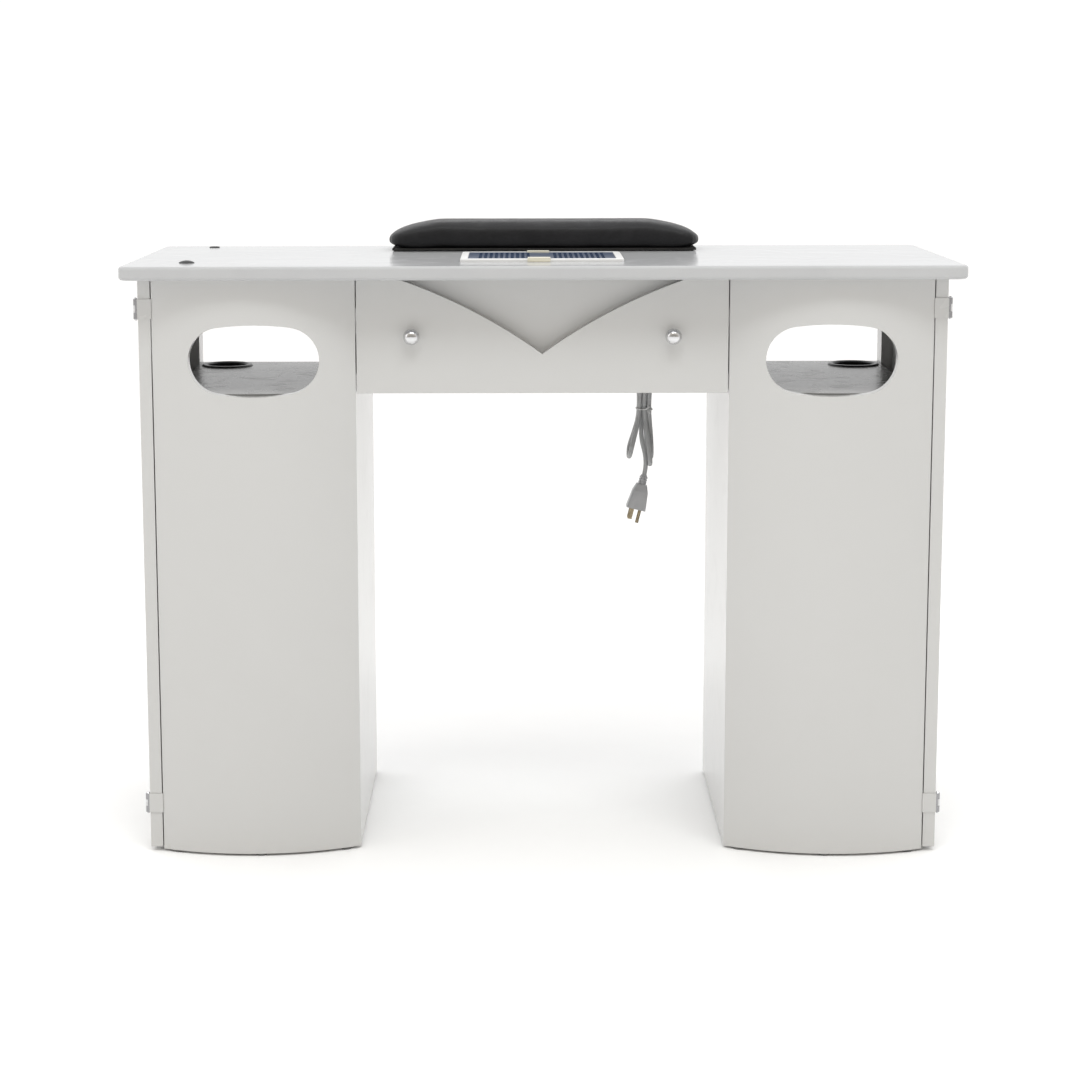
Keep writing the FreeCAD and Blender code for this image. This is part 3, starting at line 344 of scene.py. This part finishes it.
zinc = metal("zinc_plate", (0.52, 0.53, 0.55), (0.66, 0.67, 0.69), 0.28, 0.42, 0.25)
dress(zinc, "corner_brackets")

# ---------------------------------------------------------------------------------------------
# Cross-head screws. One tree makes them all: a countersunk head with a cross cut in it stands on
# each point of a scatter of vertices and looks along that point's direction.

screws = bpy.data.node_groups.new("screws", "GeometryNodeTree")
screws.is_modifier = True
for label, kind, way in (("Places", "Geometry", "INPUT"), ("Head radius", "Float", "INPUT"),
                         ("Head height", "Float", "INPUT"),
                         ("Metal", "Material", "INPUT"), ("Heads", "Geometry", "OUTPUT")):
    screws.interface.new_socket(name=label, in_out=way, socket_type="NodeSocket" + kind)


def geo(tree, kind, inputs=None, prefix="GeometryNode", **settings):
    """Adds one geometry node, with its inputs set or linked."""
    made = tree.nodes.new(prefix + kind)
    for name, value in settings.items():
        setattr(made, name, value)
    for name, value in (inputs or {}).items():
        if isinstance(value, bpy.types.NodeSocket):
            tree.links.new(value, made.inputs[name])
        else:
            made.inputs[name].default_value = value
    return made


given = screws.nodes.new("NodeGroupInput").outputs
handed = screws.nodes.new("NodeGroupOutput")


def times(tree, value, factor):
    return geo(tree, "Math", {0: value, 1: factor}, prefix="ShaderNode",
               operation="MULTIPLY").outputs["Value"]


head = geo(screws, "MeshCone", {"Vertices": 20, "Radius Top": times(screws, given["Head radius"], 0.78),
                                "Radius Bottom": given["Head radius"], "Depth": given["Head height"]})
arms = []
for long_share, wide_share in ((1.1, 0.2), (0.2, 1.1)):
    size = geo(screws, "CombineXYZ", {"X": times(screws, given["Head radius"], long_share),
                                      "Y": times(screws, given["Head radius"], wide_share),
                                      "Z": given["Head height"]}, prefix="ShaderNode")
    arm = geo(screws, "MeshCube", {"Size": size.outputs["Vector"]})
    lift = geo(screws, "CombineXYZ", {"Z": times(screws, given["Head height"], 0.9)}, prefix="ShaderNode")
    arms.append(geo(screws, "Transform", {"Geometry": arm.outputs["Mesh"],
                                          "Translation": lift.outputs["Vector"]}).outputs["Geometry"])
cross = screws.nodes.new("GeometryNodeMeshBoolean")
cross.operation = "DIFFERENCE"
screws.links.new(head.outputs["Mesh"], cross.inputs[0])
for arm in arms:
    screws.links.new(arm, cross.inputs[1])
facing = geo(screws, "InputNamedAttribute", {"Name": "facing"}, data_type="FLOAT_VECTOR").outputs["Attribute"]
turn = screws.nodes.new("FunctionNodeAlignRotationToVector")
turn.axis = "Z"
screws.links.new(facing, turn.inputs["Vector"])
stand = geo(screws, "InstanceOnPoints", {"Points": given["Places"], "Instance": cross.outputs["Mesh"],
                                         "Rotation": turn.outputs["Rotation"]})
solid = geo(screws, "RealizeInstances", {"Geometry": stand.outputs["Instances"]})
painted = geo(screws, "SetMaterial", {"Geometry": solid.outputs["Geometry"], "Material": given["Metal"]})
screws.links.new(painted.outputs["Geometry"], handed.inputs["Heads"])


def drive_screws(name, body, metal, radius, height, places):
    """Screw heads at (point, direction) places, made a plain mesh that rides on one body."""
    spots = bpy.data.meshes.new(name + "_places")
    spots.from_pydata([point for point, _ in places], [], [])
    facing = spots.attributes.new("facing", "FLOAT_VECTOR", "POINT")
    for item, (_, direction) in zip(facing.data, places):
        item.vector = direction
    made = bpy.data.objects.new(name, spots)
    bpy.context.scene.collection.objects.link(made)
    tool = made.modifiers.new("screws", "NODES")
    tool.node_group = screws
    for socket in screws.interface.items_tree:
        if socket.in_out == "INPUT" and socket.name in ("Head radius", "Head height", "Metal"):
            tool[socket.identifier] = {"Head radius": radius, "Head height": height,
                                       "Metal": metal}[socket.name]
    view = bpy.context.evaluated_depsgraph_get()
    mesh = bpy.data.meshes.new_from_object(made.evaluated_get(view), preserve_all_data_layers=True,
                                           depsgraph=view)
    made.modifiers.clear()
    made.data = mesh
    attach(made, body)
    return made


screw_steel = metal("screw_steel", (0.45, 0.46, 0.48), (0.62, 0.63, 0.65), 0.2, 0.36, 0.2)

# ---------------------------------------------------------------------------------------------
# The side doors. Lacquered boards on nickel-plated cabinet hinges, each with a turned chrome knob
# on a thin neck and a struck plate that meets the black magnet inside.

dress(lacquer, "left_side_door", "right_side_door")
nickel = metal("bright_nickel", (0.56, 0.56, 0.57), (0.72, 0.72, 0.73), 0.16, 0.3, 0.15)
dress(nickel, "left_door_leaves", "right_door_leaves", "hinge_pins")

painted, tree, shader, where = new_finish("painted_hinge", Specular_IOR_Level=0.5)
aside = lay(tree, "Math", {0: lay(tree, "SeparateXYZ", {"Vector": where}).outputs["X"]},
            operation="ABSOLUTE").outputs["Value"]
bare = levels(tree, aside, 0.0, 1.0, 0.5276, 0.5282)
film = use(tree, skin, Place=where, Ripple_size=300.0, Ripple_depth=0.012, Cloud_size=6.0)
coat_tone = shades(tree, film["Cloud"], (0.3, (0.58, 0.58, 0.573)), (0.7, (0.595, 0.595, 0.588)))
feed(tree, shader, Base_Color=mixed(tree, bare, coat_tone, (0.33, 0.33, 0.34)), Metallic=bare,
     Normal=film["Normal"],
     Roughness=levels(tree, film["Smudge"], 0.22, 0.34))
dress(painted, "frame_leaves")
dress(zinc, "left_catch_plate", "right_catch_plate")

chrome, tree, shader, where = new_finish("polished_chrome", Metallic=1.0)
film = use(tree, skin, Place=where, Ripple_size=60.0, Ripple_depth=0.03, Cloud_size=30.0)
feed(tree, shader, Base_Color=shades(tree, film["Cloud"], (0.3, (0.60, 0.60, 0.61)),
                                     (0.7, (0.72, 0.72, 0.73))),
     Normal=film["Normal"], Roughness=levels(tree, film["Smudge"], 0.05, 0.16))
dress(chrome, "left_door_knob", "right_door_knob", "drawer_knobs")

LEAF_FACE = 0.5279
HINGE_HEIGHTS = (0.067, 0.732)
for side, way in (("left", -1), ("right", 1)):
    drive_screws(f"{side}_hinge_screws", f"{side}_door", screw_steel, 0.0024, 0.0009,
                 [((way * LEAF_FACE, y, z), (way, 0, 0)) for z in HINGE_HEIGHTS for y in (-0.158, -0.147)])

# ---------------------------------------------------------------------------------------------
# The drawer. A facing with a notch like an open collar, glued on a plain front board, a low
# tray of thin board with a laminate bottom, two chrome knobs, and folded zinc slides.

dress(lacquer, "drawer_facing", "drawer_board", "tray_sides", "tray_back")
dress(laminate, "tray_bottom")
dress(zinc, "slide_channels", "slide_runners")

# ---------------------------------------------------------------------------------------------
# The fan unit. A moulded box screwed up under the top takes the dust that the fan draws
# through the vent; it carries the fan behind a wire guard, a rocker switch and the cord's gland.

white_plastic = moulded("white_plastic", (0.74, 0.74, 0.735), (0.79, 0.79, 0.785), 0.38,
                        rim_tone=(0.84, 0.84, 0.83))
dress(white_plastic, "fan_housing")
dress(black_plastic, "fan_frame", "switch_body")
blade_plastic = moulded("blade_plastic", (0.018, 0.018, 0.02), (0.03, 0.03, 0.032), 0.24,
                        rim_tone=(0.1, 0.1, 0.1))
dress(blade_plastic, "fan_rotor", "switch_rocker")
dress(nickel, "fan_guard")
FAN_Y, GUARD_UNDER, GUARD_REACH = 0.12, 0.698, 0.0595
drive_screws("guard_screws", "table", screw_steel, 0.0026, 0.0012,
             [((GUARD_REACH * math.cos(a), FAN_Y + GUARD_REACH * math.sin(a), GUARD_UNDER), (0, 0, -1))
              for a in (0, math.pi / 2, math.pi, math.pi * 1.5)])
drive_screws("housing_screws", "table", screw_steel, 0.0034, 0.0014,
             [((x, y, 0.70), (0, 0, -1)) for x in (-0.155, 0.155) for y in (-0.11, 0.03, 0.176)])

# ---------------------------------------------------------------------------------------------
# The top. A polished slab of cast white stone resin, 18 mm thick, with rounded corners and a
# full rounded edge, a black bush for a lamp's pin and a black domed cap on the spare hole.

slab, tree, shader, where = new_finish("cast_stone", Specular_IOR_Level=0.05)
film = use(tree, skin, Place=where, Ripple_size=35.0, Ripple_depth=0.003, Cloud_size=5.0)
speck = lay(tree, "TexNoise", {"Vector": where, "Scale": 900.0, "Detail": 2.0}).outputs["Fac"]
vein = lay(tree, "TexNoise", {"Vector": where, "Scale": 2.6, "Detail": 7.0, "Distortion": 1.8}).outputs["Fac"]
veined = shades(tree, vein, (0.42, (0.505, 0.51, 0.518)), (0.5, (0.495, 0.50, 0.51)),
                (0.58, (0.515, 0.52, 0.528)))
spotted = mixed(tree, levels(tree, speck, 0.0, 0.35, 0.56, 0.75), veined, (0.46, 0.465, 0.475))
rounded = lay(tree, "Bevel", {"Radius": 0.0008, "Normal": film["Normal"]}, samples=4).outputs["Normal"]
handled = use(tree, rubbed, Place=where, Rounded=rounded, Amount=0.25)["Mask"]
feed(tree, shader, Base_Color=mixed(tree, handled, spotted, (0.60, 0.60, 0.605)), Normal=rounded,
     Roughness=levels(tree, film["Smudge"], 0.13, 0.17))
dress(slab, "table_top")
dress(black_plastic, "lamp_bush", "hole_cap")

# ---------------------------------------------------------------------------------------------
# The vent. A white bezel let into the top, a navy grille with ten short slots in each row of
# each half, cream finger tabs at its front and back, and a pad of pale fleece that lies below.

dress(white_plastic, "vent_frame")
navy = moulded("navy_plastic", (0.012, 0.032, 0.085), (0.018, 0.045, 0.11), 0.3, grain_size=700.0,
               grain_depth=0.1,
               rim_tone=(0.06, 0.11, 0.2), rim=0.0003)
dress(navy, "vent_grille")
cream = moulded("cream_plastic", (0.76, 0.72, 0.58), (0.80, 0.76, 0.63), 0.34, rim_tone=(0.84, 0.82, 0.74))
dress(cream, "grille_tabs")

fleece, tree, shader, where = new_finish("filter_fleece", Roughness=0.95, Sheen_Weight=0.3,
                                         Sheen_Roughness=0.5)
strand = lay(tree, "TexNoise", {"Vector": where, "Scale": 700.0, "Detail": 7.0, "Roughness": 0.75,
                                "Distortion": 2.5}).outputs["Fac"]
tuft = lay(tree, "TexVoronoi", {"Vector": where, "Scale": 240.0}, feature="SMOOTH_F1").outputs["Distance"]
pile = lay(tree, "Math", {0: strand, 1: tuft}, operation="ADD").outputs["Value"]
raised = lay(tree, "Bump", {"Height": pile, "Strength": 0.8, "Distance": 0.0012}).outputs["Normal"]
feed(tree, shader, Base_Color=shades(tree, pile, (0.45, (0.16, 0.24, 0.36)), (1.0, (0.44, 0.52, 0.62))),
     Normal=raised)
dress(fleece, "filter_pad")

# ---------------------------------------------------------------------------------------------
# The mains lead. 6.5 mm round grey cord that leaves the gland straight down, folded into a
# hanging hank behind the drawer and held by a wire twist; its moulded plug hangs below.

LEAD_THICK = 0.0065
LEAD_ROUTE = [
    # down from the gland at the front of the bundle
    (0.145, 0.082, 0.676), (0.145, 0.0816, 0.664), (0.1444, 0.0824, 0.645), (0.1425, 0.086, 0.612),
    (0.1409, 0.0926, 0.585), (0.1406, 0.0936, 0.567), (0.1394, 0.0926, 0.549), (0.1336, 0.0854, 0.527),
    # the short loop that has sprung out to the left
    (0.1286, 0.0785, 0.508), (0.1267, 0.0907, 0.496), (0.1263, 0.1093, 0.496), (0.1276, 0.1215, 0.508),
    (0.1334, 0.1148, 0.527), (0.1394, 0.1082, 0.549), (0.1408, 0.1066, 0.567), (0.1408, 0.1074, 0.585),
    (0.1404, 0.113, 0.612),
    # up at the back, over the top and down the middle
    (0.14, 0.1215, 0.634), (0.142, 0.1093, 0.646), (0.148, 0.0907, 0.646), (0.151, 0.0785, 0.634),
    (0.1496, 0.086, 0.612),
    (0.1478, 0.092, 0.585), (0.1476, 0.0935, 0.567), (0.1494, 0.0924, 0.548), (0.1532, 0.086, 0.524),
    # the longest loop
    (0.1556, 0.0785, 0.497), (0.1566, 0.0907, 0.485), (0.156, 0.1093, 0.485), (0.1526, 0.1215, 0.497),
    (0.152, 0.115, 0.524), (0.1496, 0.108, 0.548), (0.1476, 0.1066, 0.567), (0.1472, 0.1076, 0.585),
    (0.1468, 0.113, 0.612),
    # up, over and down on the right
    (0.147, 0.1215, 0.636), (0.149, 0.1093, 0.648), (0.1546, 0.0907, 0.648), (0.158, 0.0785, 0.636),
    (0.1564, 0.086, 0.612),
    (0.1546, 0.0924, 0.585), (0.1542, 0.0935, 0.567), (0.1552, 0.0936, 0.548), (0.1572, 0.091, 0.526),
    # the loop behind it
    (0.1578, 0.0845, 0.507), (0.158, 0.097, 0.4946), (0.1588, 0.1154, 0.4946), (0.1592, 0.127, 0.507),
    (0.1576, 0.1184, 0.526), (0.155, 0.1092, 0.548), (0.1542, 0.1067, 0.567), (0.1542, 0.1076, 0.585),
    (0.1544, 0.114, 0.612),
    # up, over to the left, then down through the tie to the plug
    (0.1546, 0.1215, 0.646), (0.151, 0.1093, 0.66), (0.143, 0.0907, 0.66), (0.1372, 0.0785, 0.646),
    (0.1386, 0.092, 0.622),
    (0.1446, 0.0984, 0.596), (0.1474, 0.1, 0.57), (0.1452, 0.1, 0.55), (0.1434, 0.1, 0.533),
    (0.145, 0.1, 0.517), (0.1488, 0.1, 0.503), (0.1506, 0.1, 0.491), (0.1504, 0.1, 0.479),
    (0.1486, 0.1, 0.4692),
]


def strand_along(name, route, radius, steps, sides):
    """A round strand swept along one smooth curve that starts and ends on its route's end points."""
    line = bpy.data.curves.new(name, "CURVE")
    line.dimensions = "3D"
    spline = line.splines.new("NURBS")
    spline.points.add(len(route) - 1)
    for point, place in zip(spline.points, route):
        point.co = (*place, 1)
    spline.order_u = 3
    spline.use_endpoint_u = True
    spline.resolution_u = steps
    line.bevel_depth = radius
    line.bevel_resolution = sides
    line.use_fill_caps = True
    return line


lead_line = strand_along("mains_lead", LEAD_ROUTE, LEAD_THICK / 2, 8, 5)


def flexible(name, shade, pale, gloss):
    """Soft grey PVC: a satin skin with a faint lengthwise bloom, handled and slightly grubby."""
    finish, tree, shader, where = new_finish(name, Specular_IOR_Level=0.45)
    film = use(tree, skin, Place=where, Ripple_size=520.0, Ripple_depth=0.22, Cloud_size=36.0)
    soil = use(tree, dust, Place=where, Amount=0.5, Reach=0.01)["Mask"]
    tone = shades(tree, film["Cloud"], (0.3, shade), (0.7, pale))
    feed(tree, shader, Base_Color=mixed(tree, soil, tone, (0.5, 0.49, 0.47)), Normal=film["Normal"],
         Roughness=levels(tree, film["Smudge"], gloss, gloss + 0.16))
    return finish


lead_line.materials.append(flexible("lead_pvc", (0.36, 0.365, 0.37), (0.45, 0.455, 0.46), 0.42))
lead = bpy.data.objects.new("mains_lead", lead_line)
bpy.context.scene.collection.objects.link(lead)
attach(lead, "table")

plug_pvc = flexible("plug_pvc", (0.42, 0.425, 0.44), (0.50, 0.505, 0.52), 0.38)
dress(plug_pvc, "strain_relief", "plug_sleeve", "plug_body")
brass = metal("plug_brass", (0.20, 0.165, 0.11), (0.36, 0.30, 0.20), 0.22, 0.4, 0.2)
dress(brass, "plug_blades", "plug_pin")

TIE_ROUTE = [
    (0.1545, 0.0812, 0.5705), (0.1515, 0.0842, 0.5665), (0.1475, 0.0886, 0.565), (0.1405, 0.0888, 0.5652),
    (0.1366, 0.0925, 0.5655), (0.1364, 0.1, 0.5657), (0.1368, 0.1075, 0.5654), (0.1405, 0.1112, 0.5652),
    (0.1475, 0.1114, 0.565), (0.1548, 0.1112, 0.5645), (0.1586, 0.1075, 0.5643), (0.1588, 0.1, 0.5641),
    (0.1586, 0.0925, 0.5643), (0.1548, 0.0888, 0.5645), (0.1508, 0.0862, 0.5655), (0.1522, 0.0834, 0.5625),
    (0.1558, 0.0815, 0.5605),
]
TWIST_RADIUS = 0.0011
tie_line = strand_along("wire_twist", TIE_ROUTE, TWIST_RADIUS, 6, 3)
tie_line.materials.append(flexible("twist_pvc", (0.52, 0.52, 0.52), (0.60, 0.60, 0.60), 0.4))
twist = bpy.data.objects.new("wire_twist", tie_line)
bpy.context.scene.collection.objects.link(twist)
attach(twist, "table")
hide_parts("cord_tie")
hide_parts("cord_lead", "cord_hank", "cord_tail")

# ---------------------------------------------------------------------------------------------
# The armrest. A firm foam block with long sloping ends, pulled tight in black vinyl that is
# stapled under a black board; four felt feet keep it off the polished top.

PAD_X, PAD_HALF, PAD_FRONT, PAD_BACK = 0.005, 0.225, 0.068, 0.190
PAD_LOW, PAD_TOP, PAD_END, PAD_SLOPE = 0.7945, 0.8305, 0.017, 0.075
SLACK = 0.0022
EASE, LEAN = 0.62, 0.12


def foam_top(x):
    """How high the foam stands at a place along the pad: flat, with an eased slope to each end."""
    inward = min(1, max(0, (PAD_HALF - abs(x - PAD_X)) / PAD_SLOPE))
    eased = inward ** EASE * (1 - LEAN * inward) + LEAN * inward
    return PAD_LOW + PAD_END + (PAD_TOP - PAD_LOW - PAD_END) * eased


foam = bmesh.new()
RINGS, ROUND = 56, 40
PAD_MID, PAD_DEEP = (PAD_FRONT + PAD_BACK) / 2, (PAD_BACK - PAD_FRONT) / 2
hoops = []
for i in range(RINGS + 1):
    reach = -math.cos(math.pi * i / RINGS)
    x = PAD_X + (PAD_HALF - SLACK) * reach
    end_round = max(0.0, 1 - abs(reach) ** 26) ** (1 / 2.6)
    deep = max(0.006, (PAD_DEEP - SLACK) * end_round)
    low, high = PAD_LOW + SLACK * 0.6, foam_top(x) - SLACK * 0.6
    mid, half = (low + high) / 2, max(0.003, (high - low) / 2 * max(0.35, end_round ** 0.7))
    hoop = []
    for j in range(ROUND):
        angle = 2 * math.pi * j / ROUND
        c, s = math.cos(angle), math.sin(angle)
        power = 0.32 if s > 0 else 0.2
        y = PAD_MID + deep * math.copysign(abs(c) ** (power + 0.08), c)
        z = mid + half * math.copysign(abs(s) ** (power + 0.12), s)
        hoop.append(foam.verts.new((x, y, z)))
    hoops.append(hoop)
for one, two in zip(hoops, hoops[1:]):
    for j in range(ROUND):
        foam.faces.new((one[j], two[j], two[(j + 1) % ROUND], one[(j + 1) % ROUND]))
foam.faces.new(hoops[0])
foam.faces.new(reversed(hoops[-1]))
bmesh.ops.recalc_face_normals(foam, faces=foam.faces)
pad_mesh = bpy.data.meshes.new("arm_pad")
foam.to_mesh(pad_mesh)
foam.free()
pad = bpy.data.objects.new("arm_pad", pad_mesh)
bpy.context.scene.collection.objects.link(pad)
bpy.context.view_layer.objects.active = pad


def settle(piece, name, kind, **settings):
    """Applies one modifier to a piece."""
    tool = piece.modifiers.new(name, kind)
    for key, value in settings.items():
        setattr(tool, key, value)
    with bpy.context.temp_override(object=piece, active_object=piece):
        bpy.ops.object.modifier_apply(modifier=name)


VOXEL = 0.0045
PRESSURE, FRAMES = 4, 20
SWELL = 0.0032
settle(pad, "even_mesh", "REMESH", mode="VOXEL", voxel_size=VOXEL, use_smooth_shade=True)
before = [v.co.copy() for v in pad.data.vertices]
stretch = pad.modifiers.new("vinyl", "CLOTH")
stretch.settings.use_pressure = True
stretch.settings.uniform_pressure_force = PRESSURE
stretch.settings.effector_weights.gravity = 0
stretch.settings.quality = 5
for step in range(1, FRAMES + 1):
    bpy.context.scene.frame_set(step)
view = bpy.context.evaluated_depsgraph_get()
swollen = [v.co.copy() for v in pad.evaluated_get(view).to_mesh().vertices]
pad.evaluated_get(view).to_mesh_clear()
pad.modifiers.clear()
bpy.context.scene.frame_set(1)
for vertex, old, new in zip(pad.data.vertices, before, swollen):
    move = new - old
    if move.length > SWELL:
        move = move.normalized() * SWELL
    place = old + move
    place.z = max(place.z, PAD_LOW + 0.0002)
    vertex.co = place
settle(pad, "fair", "SMOOTH", factor=0.5, iterations=6)
settle(pad, "finer", "SUBSURF", levels=1, render_levels=1)
for polygon in pad.data.polygons:
    polygon.use_smooth = True

vinyl, tree, shader, where = new_finish("black_vinyl", Specular_IOR_Level=0.3)
pore = lay(tree, "TexVoronoi", {"Vector": where, "Scale": 620.0, "Randomness": 1.0},
           feature="DISTANCE_TO_EDGE").outputs["Distance"]
leather = lay(tree, "TexNoise", {"Vector": where, "Scale": 1500.0, "Detail": 2.0}).outputs["Fac"]
crease = lay(tree, "TexNoise", {"Vector": where, "Scale": 34.0, "Detail": 5.0,
                                "Distortion": 1.2}).outputs["Fac"]
creased = lay(tree, "Bump", {"Height": crease, "Strength": 0.16, "Distance": 0.004}).outputs["Normal"]
pores = levels(tree, pore, 0.0, 1.0, 0.0, 0.14)
grained = lay(tree, "Bump", {"Height": pores, "Strength": 0.35, "Distance": 0.0003,
                             "Normal": creased}).outputs["Normal"]
fine = lay(tree, "Bump", {"Height": leather, "Strength": 0.1, "Distance": 0.0002,
                          "Normal": grained}).outputs["Normal"]
rubbed_tone = shades(tree, crease, (0.35, (0.009, 0.009, 0.0104)), (0.7, (0.015, 0.015, 0.017)))
# The pore grooves of the grain are painted half-way to near black: painted shade in the grooves, not a colour of the
# vinyl.
feed(tree, shader, Base_Color=mixed(tree, levels(tree, pores, 0.5, 0.0), rubbed_tone, (0.003, 0.003, 0.0034)),
     Normal=fine,
     Roughness=levels(tree, crease, 0.36, 0.5, 0.3, 0.7))
pad.data.materials.clear()
pad.data.materials.append(vinyl)
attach(pad, "armrest")
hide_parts("armrest_pad")

ply, tree, shader, where = new_finish("black_board", Specular_IOR_Level=0.4)
film = use(tree, skin, Place=where, Ripple_size=300.0, Ripple_depth=0.3, Cloud_size=12.0)
fibre = lay(tree, "TexNoise", {"Vector": where, "Scale": 480.0, "Detail": 5.0}).outputs["Fac"]
feed(tree, shader, Base_Color=shades(tree, fibre, (0.35, (0.012, 0.012, 0.012)), (0.7, (0.03, 0.029, 0.028))),
     Normal=film["Normal"], Roughness=levels(tree, film["Smudge"], 0.6, 0.8))
dress(ply, "armrest_board")

felt, tree, shader, where = new_finish("grey_felt", Roughness=1.0, Sheen_Weight=0.4, Sheen_Roughness=0.6)
hair = lay(tree, "TexNoise", {"Vector": where, "Scale": 1300.0, "Detail": 6.0,
                              "Distortion": 3.0}).outputs["Fac"]
matted = lay(tree, "Bump", {"Height": hair, "Strength": 0.7, "Distance": 0.0006}).outputs["Normal"]
feed(tree, shader, Base_Color=shades(tree, hair, (0.3, (0.05, 0.05, 0.05)), (0.7, (0.14, 0.14, 0.135))),
     Normal=matted)
dress(felt, "armrest_feet")
